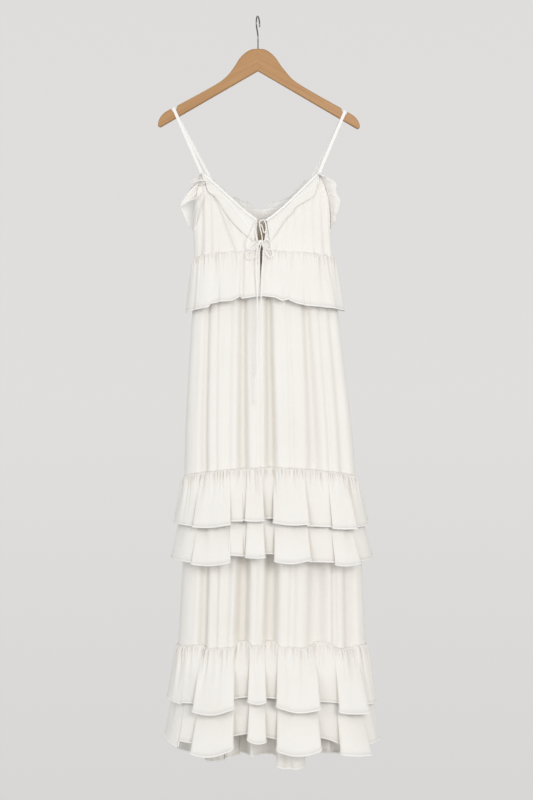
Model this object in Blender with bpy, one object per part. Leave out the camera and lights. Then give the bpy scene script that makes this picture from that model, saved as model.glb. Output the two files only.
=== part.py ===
# A white tiered maxi dress hanging on its wooden hanger.
# Sizes are in millimetres and become metres where a mesh is made.
# The origin is the inner top of the hook. +X is the wearer's left, on the right
# when seen from the front, -Y is the front and +Z is up.

import math

import bpy
import numpy as np

MM = 0.001
GAP = 0.3
CLOTH = 1.4
FRONT = -1
BACK = 1

for old in list(bpy.data.objects):
    bpy.data.objects.remove(old)


# Materials

def finish(name, colour, roughness, metallic=0.0):
    """One Principled material with a plain colour."""
    material = bpy.data.materials.new(name)
    material.use_nodes = True
    shader = material.node_tree.nodes["Principled BSDF"]
    shader.inputs["Base Color"].default_value = (*colour, 1.0)
    shader.inputs["Roughness"].default_value = roughness
    shader.inputs["Metallic"].default_value = metallic
    return material


COTTON = finish("cotton_voile", (0.86, 0.84, 0.79), 0.85)
BEECH = finish("beech_wood", (0.51, 0.29, 0.13), 0.45)
STEEL = finish("steel_wire", (0.55, 0.55, 0.56), 0.3, 1.0)


# Meshes

def add_object(name, points, faces, material, smooth=True):
    """Make one object from points in millimetres."""
    mesh = bpy.data.meshes.new(name)
    mesh.from_pydata((np.asarray(points) * MM).tolist(), [], faces)
    mesh.validate()
    if smooth:
        mesh.shade_smooth()
    obj = bpy.data.objects.new(name, mesh)
    obj.data.materials.append(material)
    bpy.context.collection.objects.link(obj)
    return obj


def level_normals(middle):
    """Horizontal unit normals of a grid's rows, to the right of the way they run."""
    along = np.gradient(middle, axis=1)
    normals = np.stack([along[..., 1], -along[..., 0], np.zeros(along.shape[:2])], axis=-1)
    return normals / np.linalg.norm(normals, axis=-1, keepdims=True)


def surface_normals(middle):
    """Unit normals of a grid in space."""
    down = np.gradient(middle, axis=0)
    along = np.gradient(middle, axis=1)
    normals = np.cross(along, down)
    return normals / np.linalg.norm(normals, axis=-1, keepdims=True)


def grid_faces(rows, cols):
    """Faces of a closed wall: an outer grid, an inner grid and the rim between them."""
    count = rows * cols
    outer = np.arange(count).reshape(rows, cols)
    inner = outer + count
    faces = []
    for j in range(rows - 1):
        for i in range(cols - 1):
            faces.append((outer[j, i], outer[j, i + 1], outer[j + 1, i + 1], outer[j + 1, i]))
            faces.append((inner[j, i], inner[j + 1, i], inner[j + 1, i + 1], inner[j, i + 1]))
    for i in range(cols - 1):
        faces.append((outer[0, i], inner[0, i], inner[0, i + 1], outer[0, i + 1]))
        faces.append((outer[-1, i], outer[-1, i + 1], inner[-1, i + 1], inner[-1, i]))
    for j in range(rows - 1):
        faces.append((outer[j, 0], outer[j + 1, 0], inner[j + 1, 0], inner[j, 0]))
        faces.append((outer[j, -1], inner[j, -1], inner[j + 1, -1], outer[j + 1, -1]))
    return [tuple(int(corner) for corner in face) for face in faces]


def cloth_wall(name, middle, normals, flat_ends=()):
    """A closed wall around a grid of middle points; flat_ends keep their own y at a side seam."""
    half = normals * CLOTH / 2
    first, second = middle + half, middle - half
    for column in flat_ends:
        for skin in (first, second):
            skin[:, column, 1] = middle[:, column, 1]
    rows, cols = middle.shape[:2]
    points = np.concatenate([first.reshape(-1, 3), second.reshape(-1, 3)])
    faces = grid_faces(rows, cols)
    centre = points.mean(axis=0)
    if signed_volume(points - centre, faces) < 0:
        faces = [face[::-1] for face in faces]
    return add_object(name, points, faces, COTTON)


def signed_volume(points, faces):
    """Six times the volume inside quads, positive when they face outwards."""
    quads = points[np.array(faces)]
    first = np.einsum("ij,ij->i", quads[:, 0], np.cross(quads[:, 1], quads[:, 2]))
    second = np.einsum("ij,ij->i", quads[:, 0], np.cross(quads[:, 2], quads[:, 3]))
    return float((first + second).sum())


# The hanging tube: outline from the front and the side

SECTION_COLUMNS = ("z", "left", "right", "front", "back")
SECTIONS = np.array([
    (-1660.0, -180.0, 242.0, 92.0, 84.0),
    (-1386.0, -176.0, 237.0, 78.0, 72.0),
    (-1203.0, -165.0, 228.0, 68.0, 63.0),
    (-1014.0, -161.5, 214.5, 60.0, 56.0),
    (-926.0, -160.0, 208.0, 55.0, 52.0),
    (-825.0, -155.0, 197.0, 50.0, 48.0),
    (-724.0, -149.0, 184.5, 46.0, 44.0),
    (-649.0, -144.0, 175.5, 42.0, 40.0),
    (-538.6, -139.5, 166.0, 35.0, 33.0),
    (-466.0, -142.0, 160.0, 28.0, 27.0),
    (-341.0, -141.0, 158.0, 20.0, 20.0),
])
ROUNDNESS = 2.4


def section(z):
    """Middle, half width, front depth and back depth of the tube at a height."""
    left, right, front, back = (
        np.interp(z, SECTIONS[:, 0], SECTIONS[:, SECTION_COLUMNS.index(key)])
        for key in SECTION_COLUMNS[1:])
    return (left + right) / 2, (right - left) / 2, front, back


def share_of(x, z):
    """Place across the tube, from -1 at the left seam to 1 at the right seam."""
    middle, half_width, _, _ = section(z)
    return np.clip((x - middle) / half_width, -1.0, 1.0)


def tube(share, z, side, out=0.0):
    """Points of the plain tube moved out along its level normal."""
    middle, half_width, front, back = section(z)
    depth = front if side == FRONT else back
    rise = (1 - np.abs(share) ** ROUNDNESS) ** (1 / ROUNDNESS)
    normal_x = np.sign(share) * np.abs(share) ** (ROUNDNESS - 1) / half_width
    normal_y = side * rise ** (ROUNDNESS - 1) / depth
    length = np.hypot(normal_x, normal_y)
    x = middle + half_width * share + out * normal_x / length
    y = side * (GAP / 2 + depth * rise) + out * normal_y / length
    return np.stack([x, y, z + 0 * x], axis=-1)


def share_at(turn):
    """Turn the seam-to-seam run, -1 to 1, into a share of the half width."""
    return np.sin(turn * math.pi / 2)


def turn_at(share):
    return np.arcsin(np.clip(share, -1, 1)) * 2 / math.pi


def seam_fade(turn, power=8):
    """One over most of a panel, nought at its side seams."""
    return 1 - np.abs(turn) ** power


# Long folds of the skirt, as soft troughs
# Columns: share of the half width at the waist and at the hem, half width of
# the trough at the waist and at the hem in shares, depth at the waist and hem.

FRONT_FOLDS = (
    (-0.80, -0.74, 0.040, 0.050, 3.0, 8.0),
    (-0.66, -0.60, 0.022, 0.030, 2.0, 2.5),
    (-0.47, -0.50, 0.035, 0.045, 2.0, 2.5),
    (-0.30, -0.31, 0.050, 0.062, 5.0, 11.0),
    (-0.10, -0.14, 0.030, 0.035, 2.0, 3.0),
    (0.06, -0.02, 0.038, 0.075, 5.0, 13.0),
    (0.33, 0.20, 0.030, 0.040, 2.0, 3.0),
    (0.58, 0.43, 0.040, 0.065, 4.0, 10.0),
    (0.76, 0.60, 0.028, 0.040, 2.5, 3.5),
    (0.90, 0.83, 0.040, 0.060, 3.0, 7.0),
)
BACK_FOLDS = (
    (-0.86, -0.80, 0.040, 0.055, 3.0, 7.0),
    (-0.63, -0.60, 0.035, 0.060, 4.0, 10.0),
    (-0.42, -0.38, 0.028, 0.040, 2.0, 4.0),
    (-0.20, -0.22, 0.045, 0.070, 4.5, 11.0),
    (0.02, 0.04, 0.030, 0.040, 2.0, 3.5),
    (0.24, 0.27, 0.045, 0.065, 5.0, 12.0),
    (0.45, 0.49, 0.028, 0.040, 2.0, 4.0),
    (0.68, 0.66, 0.040, 0.060, 4.0, 9.0),
    (0.87, 0.84, 0.035, 0.050, 3.0, 6.0),
)
FOLD_TOP = -530.0
FOLD_FOOT = -1386.0
FOLD_REACH = 1.3


def skirt_fold(turn, z, side):
    """How far the skirt's wall lies inside the plain tube, nought or less."""
    share = share_at(turn)
    way = np.clip((FOLD_TOP - z) / (FOLD_TOP - FOLD_FOOT), 0, FOLD_REACH)
    depth = 0.0
    for top, foot, wide_top, wide_foot, deep_top, deep_foot in (
            FRONT_FOLDS if side == FRONT else BACK_FOLDS):
        centre = top + (foot - top) * way
        width = wide_top + (wide_foot - wide_top) * way
        deep = deep_top + (deep_foot - deep_top) * way
        depth = depth + deep * np.exp(-((share - centre) / width) ** 2)
    return -depth * seam_fade(turn)


# Seams and hems: heights across the panel

WAIST_CENTRE = -516.4
WAIST_DROP = 22.2
WAIST_SLOPE = 0.3


def waist_seam(turn):
    """The waist seam arches up from the side seams to the centre."""
    run = np.abs(turn)
    return WAIST_CENTRE - WAIST_DROP * (
        WAIST_SLOPE * run ** 0.7 + (1 - WAIST_SLOPE) * run ** 3)


def arch(centre, drop, power):
    """A level that falls from the centre of the panel to its sides."""
    return lambda turn: centre - drop * np.abs(turn) ** power


# Ruffle lobes: a ruffle hangs in lobes that stand forward by their level
# Columns: share of the half width where the lobe starts, level.

TIER_1_FRONT = (
    (-1.0, 0.75), (-0.76, 1.0), (-0.385, 0.5), (-0.293, 0.0), (-0.262, 0.75),
    (-0.069, 0.0), (0.002, 1.0), (0.379, 0.45), (0.563, 1.0), (0.807, 0.45))
TIER_1_BACK = (
    (-1.0, 0.5), (-0.84, 1.0), (-0.55, 0.35), (-0.42, 1.0), (-0.12, 0.0),
    (-0.04, 0.8), (0.26, 0.3), (0.36, 1.0), (0.66, 0.2), (0.76, 0.9))
TIER_2_FRONT = (
    (-1.0, 0.4), (-0.887, 0.62), (-0.794, 0.45), (-0.684, 1.0), (-0.318, 0.0),
    (-0.216, 0.3), (-0.047, 0.85), (0.036, 1.0), (0.446, 0.0), (0.493, 0.55),
    (0.559, 1.0), (0.829, 0.4))
TIER_2_BACK = (
    (-1.0, 0.5), (-0.87, 1.0), (-0.60, 0.2), (-0.47, 0.95), (-0.20, 0.35),
    (-0.09, 1.0), (0.22, 0.0), (0.31, 0.85), (0.58, 0.3), (0.70, 1.0),
    (0.88, 0.5))
STEP = 0.022
CROWN = 0.07
CROWN_SHARE = 0.35
SIDE_FADE = 5
GATHER_FADE = 12


def lobe_level(share, lobes):
    """Level of the ruffle, 0 in its deepest valley and 1 on its foremost lobes."""
    level = lobes[0][1] + 0 * share
    for (_, before), (start, after) in zip(lobes, lobes[1:]):
        sharp = (1 + np.tanh((share - start) / STEP)) / 2
        round_ = (1 + np.tanh((share - start) / CROWN)) / 2
        level = level + (after - before) * ((1 - CROWN_SHARE) * sharp + CROWN_SHARE * round_)
    return np.clip(level, 0, 1)


def gathers(turn, count, phase):
    """Small uneven gathers, 0 to 1, that start at a seam."""
    wobble = 0.35 * np.sin(2.3 * turn + phase) + 0.2 * np.sin(5.1 * turn - phase)
    return 0.5 + 0.5 * np.sin(math.pi * count * turn + 3 * wobble + phase)


# One row for each ruffle
# Columns: top and hem across the panel, how far the hem and the top drop on a
# lobe that stands forward, flare at the hem, depth of the lobes at the hem, power
# of the flare, lobes of the front and the back, number of gathers in a panel,
# rows of the wall as shares of the way down.

RUFFLES = {
    "tier1_upper": dict(
        top=arch(-989.5, 23.5, 1.3), hem=arch(-1097.0, 7.0, 2), drop=14.0, top_drop=0.0,
        flare=17.5, deep=22.0, power=0.75, lobes=(TIER_1_FRONT, TIER_1_BACK), count=13,
        steps=(0.0, 0.12, 0.5, 1.0)),
    "tier1_lower": dict(
        top=arch(-1060.0, 20.0, 1.5), hem=arch(-1175.0, 4.0, 2), drop=16.0, top_drop=14.0,
        flare=21.0, deep=24.0, power=0.8, lobes=(TIER_1_FRONT, TIER_1_BACK), count=11,
        steps=(0.0, 0.45, 1.0)),
    "tier2_upper": dict(
        top=arch(-1362.0, 16.0, 1.5), hem=arch(-1481.0, 18.0, 2), drop=27.0, top_drop=13.0,
        flare=17.5, deep=34.0, power=0.75, lobes=(TIER_2_FRONT, TIER_2_BACK), count=13,
        steps=(0.0, 0.12, 0.5, 1.0)),
    "tier2_lower": dict(
        top=arch(-1440.0, 16.0, 1.5), hem=arch(-1559.0, 28.0, 2), drop=34.0, top_drop=20.0,
        flare=21.5, deep=36.0, power=0.8, lobes=(TIER_2_FRONT, TIER_2_BACK), count=11,
        steps=(0.0, 0.45, 1.0)),
}
SEWN_ON = CLOTH + GAP
GATHER_DEEP = 1.6
GATHER_RISE = 5.0
GATHER_FALL = 1.6


def gather_height(small, step):
    """Height of the small gathers: they start at the seam and fade on the way down."""
    return GATHER_DEEP * small * min(1.0, GATHER_RISE * step) * math.exp(-GATHER_FALL * step)


def ruffle_grid(ruffle, side, turns, steps):
    """Middle points of one ruffle panel, from its seam down to its hem."""
    lobes = ruffle["lobes"][0 if side == FRONT else 1]
    level = lobe_level(share_at(turns), lobes) * seam_fade(turns, SIDE_FADE)
    top = ruffle["top"](turns) - ruffle["top_drop"] * level
    hem = ruffle["hem"](turns) - ruffle["drop"] * level
    small = gathers(turns, ruffle["count"], side) * seam_fade(turns, GATHER_FADE)
    rows = []
    for step in steps:
        z = top + (hem - top) * step
        inherited = skirt_fold(turns, z, side) * max(0.0, 1 - 2 * step)
        out = (SEWN_ON + inherited + ruffle["flare"] * step ** ruffle["power"]
               + ruffle["deep"] * level * step
               + gather_height(small, step))
        rows.append(tube(share_at(turns), z, side, out))
    return np.array(rows)


SKIRT_COLUMNS = 40
FINE_COLUMNS = 800


def shared_turns(side):
    """Turns that all the skirt's layers share, closer together at the steep folds."""
    fine = np.linspace(-1, 1, FINE_COLUMNS + 1)
    run = np.zeros(len(fine))
    for name in ("tier1_upper", "tier2_upper"):
        hem = ruffle_grid(RUFFLES[name], side, fine, [1.0])[0]
        run[1:] += np.cumsum(np.linalg.norm(np.diff(hem, axis=0), axis=1))
    return np.interp(np.linspace(0, run[-1], SKIRT_COLUMNS + 1), run, fine)


def make_ruffles():
    for name, ruffle in RUFFLES.items():
        for side, label in ((FRONT, "front"), (BACK, "back")):
            middle = ruffle_grid(ruffle, side, TURNS[side], ruffle["steps"])
            cloth_wall(f"{name}_{label}", middle, level_normals(middle), flat_ends=(0, -1))


TURNS = {side: shared_turns(side) for side in (FRONT, BACK)}


# Skirt panels between the ruffles

TIER_1_SEAM = RUFFLES["tier1_upper"]["top"]
TIER_2_SEAM = arch(-1368.0, 20.0, 1.5)
UNDER_HEM = -1604.0
SLIT_CENTRE = 7.0
SLIT_HALF = 3.2
SLIT_FOOT = -606.0
SLIT_CLEAR = 0.01

# Places where the skirt's own hem hangs lower
# Columns: share of the half width, half width in shares, drop.
UNDER_HEM_LOBES = ((-0.50, 0.16, 16.0), (0.12, 0.16, 27.0), (0.62, 0.12, 6.0))


def under_hem(turn):
    """The skirt's own hem, which shows below the last ruffle in places."""
    share = share_at(turn)
    low = sum(drop * np.exp(-((share - centre) / width) ** 4)
              for centre, width, drop in UNDER_HEM_LOBES)
    return UNDER_HEM - low


def skirt_grid(turns, top, foot, side, steps):
    rows = []
    for step in steps:
        z = top + (foot - top) * step
        rows.append(tube(share_at(turns), z, side, skirt_fold(turns, z, side)))
    return np.array(rows)


def make_skirt(name, top_line, foot_line, steps, slit):
    for side, label in ((FRONT, "front"), (BACK, "back")):
        turns = TURNS[side].copy()
        with_slit = slit and side == FRONT
        if with_slit:
            edges = turn_at(share_of(np.array([-1.0, 0.0, 1.0]) * SLIT_HALF + SLIT_CENTRE,
                                     waist_seam(0.0)))
            before = turns[turns < edges[0] - SLIT_CLEAR]
            after = turns[turns > edges[2] + SLIT_CLEAR]
            turns = np.concatenate([before, edges, after])
            nearest = len(before) + 1
        top = top_line(turns) - GAP / 2
        if with_slit:
            top[nearest] = SLIT_FOOT
        middle = skirt_grid(turns, top, foot_line(turns) + GAP / 2, side, steps)
        cloth_wall(f"{name}_{label}", middle, level_normals(middle), flat_ends=(0, -1))


# Columns: name, top line, foot line, rows as shares of the way down, front slit.
SKIRTS = (
    ("skirt_upper", waist_seam, TIER_1_SEAM, (0.0, 0.12, 0.4, 0.7, 1.0), True),
    ("skirt_mid", TIER_1_SEAM, TIER_2_SEAM, (0.0, 0.2, 0.55, 1.0), False),
    ("skirt_hem", TIER_2_SEAM, under_hem, (0.0, 0.33, 1.0), False),
)


# Peplum, the short ruffle below the waist
# Columns: share of the half width, height of the hem.

PEPLUM_HEM = np.array([
    (-1.00, -650.0), (-0.88, -646.0), (-0.74, -641.0), (-0.70, -634.0), (-0.60, -630.0),
    (-0.42, -628.0), (-0.32, -618.0), (-0.29, -624.0), (-0.08, -619.0), (0.02, -618.0),
    (0.16, -621.0), (0.25, -629.0), (0.32, -625.0), (0.43, -634.0), (0.54, -638.0),
    (0.86, -643.0), (1.00, -647.0)])
PEPLUM_LOBES = (
    (-1.0, 0.55), (-0.90, 0.9), (-0.72, 0.45), (-0.60, 0.95), (-0.33, 0.35), (-0.27, 0.8),
    (0.26, 0.35), (0.34, 0.85), (0.52, 0.5), (0.60, 1.0), (0.90, 0.6))
PEPLUM_BACK_LOBES = (
    (-1.0, 0.6), (-0.82, 1.0), (-0.52, 0.4), (-0.40, 0.9), (-0.08, 0.3), (0.02, 1.0),
    (0.36, 0.4), (0.46, 0.95), (0.80, 0.5))
PEPLUM_FLARE = 13.0
PEPLUM_DEEP = 13.0
PEPLUM_BACK_HEM = arch(-624.0, 24.0, 1.6)
PEPLUM_BACK_DROP = 8.0
PEPLUM_GATHERS = 22
PEPLUM_PHASE = 0.4
PEPLUM_TOP_DOWN = 1.0
PEPLUM_STEPS = (0.0, 0.12, 0.35, 0.68, 1.0)
PEPLUM_COLUMNS = 25
PEPLUM_BACK_COLUMNS = 45
PEPLUM_SLIT_TOP = 3.4
PEPLUM_SLIT_FOOT = 0.9


def peplum_grid(turns, side, steps):
    share = share_at(turns)
    lobes = PEPLUM_LOBES if side == FRONT else PEPLUM_BACK_LOBES
    level = lobe_level(share, lobes) * seam_fade(turns, SIDE_FADE)
    if side == FRONT:
        hem = np.interp(share, PEPLUM_HEM[:, 0], PEPLUM_HEM[:, 1])
    else:
        hem = PEPLUM_BACK_HEM(turns) - PEPLUM_BACK_DROP * level
    top = waist_seam(turns) - PEPLUM_TOP_DOWN
    small = gathers(turns, PEPLUM_GATHERS, PEPLUM_PHASE * side) * seam_fade(turns, GATHER_FADE)
    rows = []
    for step in steps:
        z = top + (hem - top) * step
        out = (SEWN_ON + PEPLUM_FLARE * step ** 0.5 + PEPLUM_DEEP * level * step
               + gather_height(small, step))
        rows.append(tube(share, z, side, out))
    return np.array(rows)


def make_peplum():
    # Columns: label, first and last turn, way out from the centre, columns of the
    # side seam and of the centre slit.
    halves = (("left", -1.0, 0.0, -1, 0, -1), ("right", 0.0, 1.0, 1, -1, 0))
    for label, low, high, outward, seam, inner in halves:
        turns = np.linspace(low, high, PEPLUM_COLUMNS)
        middle = peplum_grid(turns, FRONT, PEPLUM_STEPS)
        for row, step in zip(middle, PEPLUM_STEPS):
            half = PEPLUM_SLIT_TOP + (PEPLUM_SLIT_FOOT - PEPLUM_SLIT_TOP) * step
            edge = SLIT_CENTRE + outward * half
            span = row[inner, 0] - row[seam, 0]
            row[:, 0] += (edge - row[inner, 0]) * ((row[:, 0] - row[seam, 0]) / span) ** 4
        cloth_wall(f"peplum_front_{label}", middle, level_normals(middle), flat_ends=(seam,))
    turns = np.linspace(-1, 1, PEPLUM_BACK_COLUMNS)
    middle = peplum_grid(turns, BACK, PEPLUM_STEPS)
    cloth_wall("peplum_back", middle, level_normals(middle), flat_ends=(0, -1))


# Bodice
# Each edge is a short list of places, x and z, seen from the front.

NECK_LEFT = np.array([(-122.0, -341.0), (-97.7, -362.6), (-57.2, -400.0), (-29.5, -425.3),
                      (-0.8, -447.9)])
NECK_RIGHT = np.array([(132.0, -342.0), (84.3, -389.8), (66.0, -407.7), (33.7, -436.0),
                       (16.6, -447.9)])
ARMHOLE_LEFT = np.array([(-142.0, -466.0), (-138.6, -413.0), (-132.0, -375.8),
                         (-124.0, -347.0)])
ARMHOLE_RIGHT = np.array([(160.0, -466.0), (157.6, -419.8), (150.5, -386.8),
                          (134.0, -348.0)])
NECK_BACK = np.array([(-104.7, -347.0), (-92.4, -371.4), (-79.2, -387.9), (-53.2, -406.6),
                      (-26.4, -415.4), (1.5, -419.8), (22.0, -418.2), (41.8, -414.3),
                      (63.8, -409.6), (92.4, -382.4), (105.6, -367.0), (118.4, -347.0)])
ARMHOLE_BACK_LEFT = np.array([(-142.0, -466.0), (-139.0, -425.0), (-128.0, -385.0),
                              (-107.0, -353.0)])
ARMHOLE_BACK_RIGHT = np.array([(160.0, -466.0), (156.5, -425.0), (144.0, -385.0),
                               (121.0, -353.0)])
BINDING = 6.0
BODICE_FOLD = 1.5
BODICE_SLIT_HALF = 3.4
BODICE_STEPS = (0.0, 0.2, 0.45, 0.7, 1.0)

# Columns: number of soft gathers in the panel, phase of the first one.
BODICE_FRONT_GATHERS = (7, 0.5)
BODICE_BACK_GATHERS = (10, 0.2)


def along(points, count, ease=lambda run: run):
    """Points spaced evenly along a list of places."""
    points = np.asarray(points, dtype=float)
    run = np.concatenate([[0], np.cumsum(np.linalg.norm(np.diff(points, axis=0), axis=1))])
    wanted = ease(np.linspace(0, 1, count)) * run[-1]
    return np.stack([np.interp(wanted, run, points[:, k]) for k in range(points.shape[1])],
                    axis=-1)


def moved_in(points, distance, toward):
    """A list of places moved sideways, down into the panel."""
    tangent = np.gradient(points, axis=0)
    normal = np.stack([-tangent[:, 1], tangent[:, 0]], axis=-1)
    normal /= np.linalg.norm(normal, axis=1, keepdims=True)
    normal *= np.where((normal @ np.array(toward))[:, None] > 0, 1, -1)
    return points + normal * distance


def bodice_point(x, z, side, out=0.0):
    """A point of the bodice at a place seen from the front."""
    return tube(share_of(x, z), z, side, out)


def bodice_folds(run, rise, gathered):
    """Soft gathers that fan from the waist up to the neck edge."""
    count, phase = gathered
    return BODICE_FOLD * np.sin(2 * math.pi * count * run + phase) * (0.75 + 0.25 * rise)


def bodice_grid(low, high, side, gathered, seams):
    """Rows of a bodice panel between its waist edge and its upper edge, places (x, z)."""
    run = np.linspace(0, 1, len(low))
    fade = np.ones(len(low))
    for seam in seams:
        fade *= 1 - (run if seam == 1 else 1 - run) ** 4
    share_low = share_of(low[:, 0], low[:, 1])
    share_high = share_of(high[:, 0], high[:, 1])
    rows = []
    for step in BODICE_STEPS:
        share = share_low + (share_high - share_low) * step
        z = low[:, 1] + (high[:, 1] - low[:, 1]) * step
        rows.append(tube(share, z, side, bodice_folds(run, step, gathered) * fade))
    return np.array(rows)


def waist_places(first, last, count):
    """Places along the waist seam between two turns."""
    turns = np.linspace(first, last, count)
    z = waist_seam(turns) + GAP / 2
    middle, half_width, _, _ = section(z)
    return np.stack([middle + half_width * share_at(turns), z], axis=-1)


NECK_COLUMNS = 15
BACK_NECK_COLUMNS = 23
ARMHOLE_COLUMNS = 6


def under_binding(neck, columns):
    """The bodice's edge just below its neck binding."""
    return moved_in(along(neck, columns), BINDING + GAP, (0, -1))


def armhole_edge(armhole, strap_end):
    """An armhole's edge from the armpit up to the strap."""
    return along(np.vstack([armhole[:-1], strap_end]), ARMHOLE_COLUMNS)


def bodice_edges():
    """The bodice's upper edges, places (x, z): necks and armholes by name."""
    front_left = under_binding(NECK_LEFT, NECK_COLUMNS)
    front_right = under_binding(NECK_RIGHT, NECK_COLUMNS)
    back = under_binding(NECK_BACK, BACK_NECK_COLUMNS)
    return {
        "neck_left": front_left,
        "neck_right": front_right,
        "neck_back": back,
        "arm_left": armhole_edge(ARMHOLE_LEFT, front_left[0]),
        "arm_right": armhole_edge(ARMHOLE_RIGHT, front_right[0]),
        "arm_back_left": armhole_edge(ARMHOLE_BACK_LEFT, back[0]),
        "arm_back_right": armhole_edge(ARMHOLE_BACK_RIGHT, back[-1]),
    }


def make_bodice():
    edges = bodice_edges()
    for label, outward in (("left", -1), ("right", 1)):
        slit = turn_at(share_of(SLIT_CENTRE + outward * BODICE_SLIT_HALF, waist_seam(0.0)))
        high = np.vstack([edges[f"arm_{label}"][:-1], edges[f"neck_{label}"]])
        low = waist_places(outward, slit, len(high))
        middle = bodice_grid(low, high, FRONT, BODICE_FRONT_GATHERS, seams=(0,))
        cloth_wall(f"bodice_front_{label}", middle, level_normals(middle), flat_ends=(0,))
    high = np.vstack([edges["arm_back_left"][:-1], edges["neck_back"],
                      edges["arm_back_right"][::-1][1:]])
    low = waist_places(-1, 1, len(high))
    middle = bodice_grid(low, high, BACK, BODICE_BACK_GATHERS, seams=(0, 1))
    cloth_wall("bodice_back", middle, level_normals(middle), flat_ends=(0, -1))


# Frills at the neck and the armholes

NECK_FRILL_LEFT = np.array([(-121.0, -356.0), (-114.0, -381.0), (-98.0, -388.0),
                            (-79.0, -411.0), (-60.0, -435.0), (-32.0, -466.0),
                            (-10.0, -490.0)])
NECK_FRILL_RIGHT = np.array([(134.5, -366.0), (131.0, -392.0), (111.0, -400.0),
                             (84.0, -415.0), (60.0, -443.0), (42.0, -466.0),
                             (27.0, -489.0)])
FRILL_DOWN = 1.5
FRILL_LIFT = 6.0
FRILL_LIFT_LOSS = 0.8
FRILL_WAVE = 2.2
FRILL_WAVES = 3.4
FRILL_PHASE = 0.8
FRILL_STEPS = (0.0, 0.5, 1.0)


def neck_frill_grid(neck, free, columns):
    """A frill that falls from the neck binding and lies over the bodice."""
    sewn = moved_in(along(neck, columns), BINDING + FRILL_DOWN, (0, -1))
    edge = along(free, columns)
    run = np.linspace(0, 1, columns)
    rows = []
    for step in FRILL_STEPS:
        place = sewn + (edge - sewn) * step
        wave = 1 + np.sin(2 * math.pi * FRILL_WAVES * run + FRILL_PHASE)
        out = (SEWN_ON + BODICE_FOLD + step * FRILL_LIFT * (1 - FRILL_LIFT_LOSS * run)
               + step * FRILL_WAVE * wave)
        rows.append(bodice_point(place[:, 0], place[:, 1], FRONT, out))
    return np.array(rows)


def make_neck_frills():
    for label, neck, free in (("left", NECK_LEFT, NECK_FRILL_LEFT),
                              ("right", NECK_RIGHT, NECK_FRILL_RIGHT)):
        middle = neck_frill_grid(neck, free, NECK_COLUMNS)
        cloth_wall(f"neck_frill_front_{label}", middle, surface_normals(middle))


BACK_FRILL_HIGH = 15.0
BACK_FRILL_LEAN = 4.0
BACK_FRILL_WAVE = 3.0
BACK_FRILL_WAVES = 4
BACK_FRILL_END = 0.35
BACK_FRILL_SPAN = {"left": (1, 10), "right": (12, 21)}


def back_frill_grid(first, last):
    """A frill that stands up from the back neck binding, between two of its columns."""
    edge = moved_in(along(NECK_BACK, BACK_NECK_COLUMNS), GAP + CLOTH / 4, (0, 1))
    picked = along(edge[first:last + 1], 2 * (last - first) + 1)
    base = bodice_point(picked[:, 0], picked[:, 1], BACK)
    run = np.linspace(0, 1, len(picked))
    ends = np.minimum(1, BACK_FRILL_END + 4 * np.minimum(run, 1 - run))
    wave = np.sin(2 * math.pi * BACK_FRILL_WAVES * run)
    rows = []
    for step in FRILL_STEPS:
        row = base.copy()
        row[:, 2] += BACK_FRILL_HIGH * ends * step
        row[:, 1] += step * (BACK_FRILL_LEAN + BACK_FRILL_WAVE * wave)
        rows.append(row)
    return np.array(rows)


def make_back_frills():
    for label, (first, last) in BACK_FRILL_SPAN.items():
        middle = back_frill_grid(first, last)
        cloth_wall(f"neck_frill_back_{label}", middle, surface_normals(middle))


# Columns: way from the strap down to the armpit, width of the frill.

ARM_FRILL_LEFT = np.array([(0.0, 8.0), (0.18, 20.0), (0.34, 21.0), (0.42, 24.0), (0.62, 37.0),
                           (0.80, 26.0), (1.0, 5.0)])
ARM_FRILL_RIGHT = np.array([(0.0, 6.0), (0.15, 16.0), (0.32, 23.0), (0.52, 25.0),
                            (0.70, 21.0), (0.86, 12.0), (1.0, 5.0)])
ARM_FRILL_DROOP = -0.42
ARM_FRILL_SPREAD = 0.42
ARM_FRILL_WAVE = 5.0
ARM_FRILL_WAVES = 3.2
ARM_FRILL_PHASE = 0.6
ARM_FRILL_CLEAR = 0.6
ARM_FRILL_SKIP = 1


def arm_frill_grid(front_edge, back_edge, widths, outward):
    """A frill round an armhole: down its front edge and up its back edge."""
    clear = CLOTH / 2 + GAP + ARM_FRILL_CLEAR
    walls = []
    for edge, side in ((front_edge, FRONT), (back_edge, BACK)):
        points = bodice_point(edge[:, 0], edge[:, 1], side)
        points[:, (0, 2)] += moved_in(edge, clear, (outward, 0.3)) - edge
        walls.append(along(points, 2 * len(points) - 1)[:-ARM_FRILL_SKIP])
    front, back = walls[0][::-1], walls[1]
    base = np.vstack([front[:-1], (front[-1:] + back[:1]) / 2, back[1:]])
    way = np.concatenate([np.linspace(0, 1, len(front)), np.linspace(1, 0, len(back))[1:]])
    turn = np.linspace(-1, 1, len(base))
    width = np.interp(way, widths[:, 0], widths[:, 1])
    spread = ARM_FRILL_SPREAD * turn * np.minimum(1, 3 * np.abs(turn))
    wave = 0.5 + 0.5 * np.sin(2 * math.pi * ARM_FRILL_WAVES * np.abs(turn) + ARM_FRILL_PHASE)
    wave = wave * np.minimum(1, 2 * np.abs(turn))
    rows = []
    for step in FRILL_STEPS:
        row = base.copy()
        row[:, 0] += outward * width * step
        row[:, 1] += spread * width * step + ARM_FRILL_WAVE * wave * step * np.sign(turn)
        row[:, 2] += ARM_FRILL_DROOP * width * step ** 1.5
        rows.append(row)
    return np.array(rows)


def make_arm_frills():
    edges = bodice_edges()
    for label, widths, outward in (("left", ARM_FRILL_LEFT, -1), ("right", ARM_FRILL_RIGHT, 1)):
        middle = arm_frill_grid(edges[f"arm_{label}"], edges[f"arm_back_{label}"], widths,
                                outward)
        cloth_wall(f"armhole_frill_{label}", middle, surface_normals(middle))


# Straps: one bias strip binds the neck edge and goes on over the hanger

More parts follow.
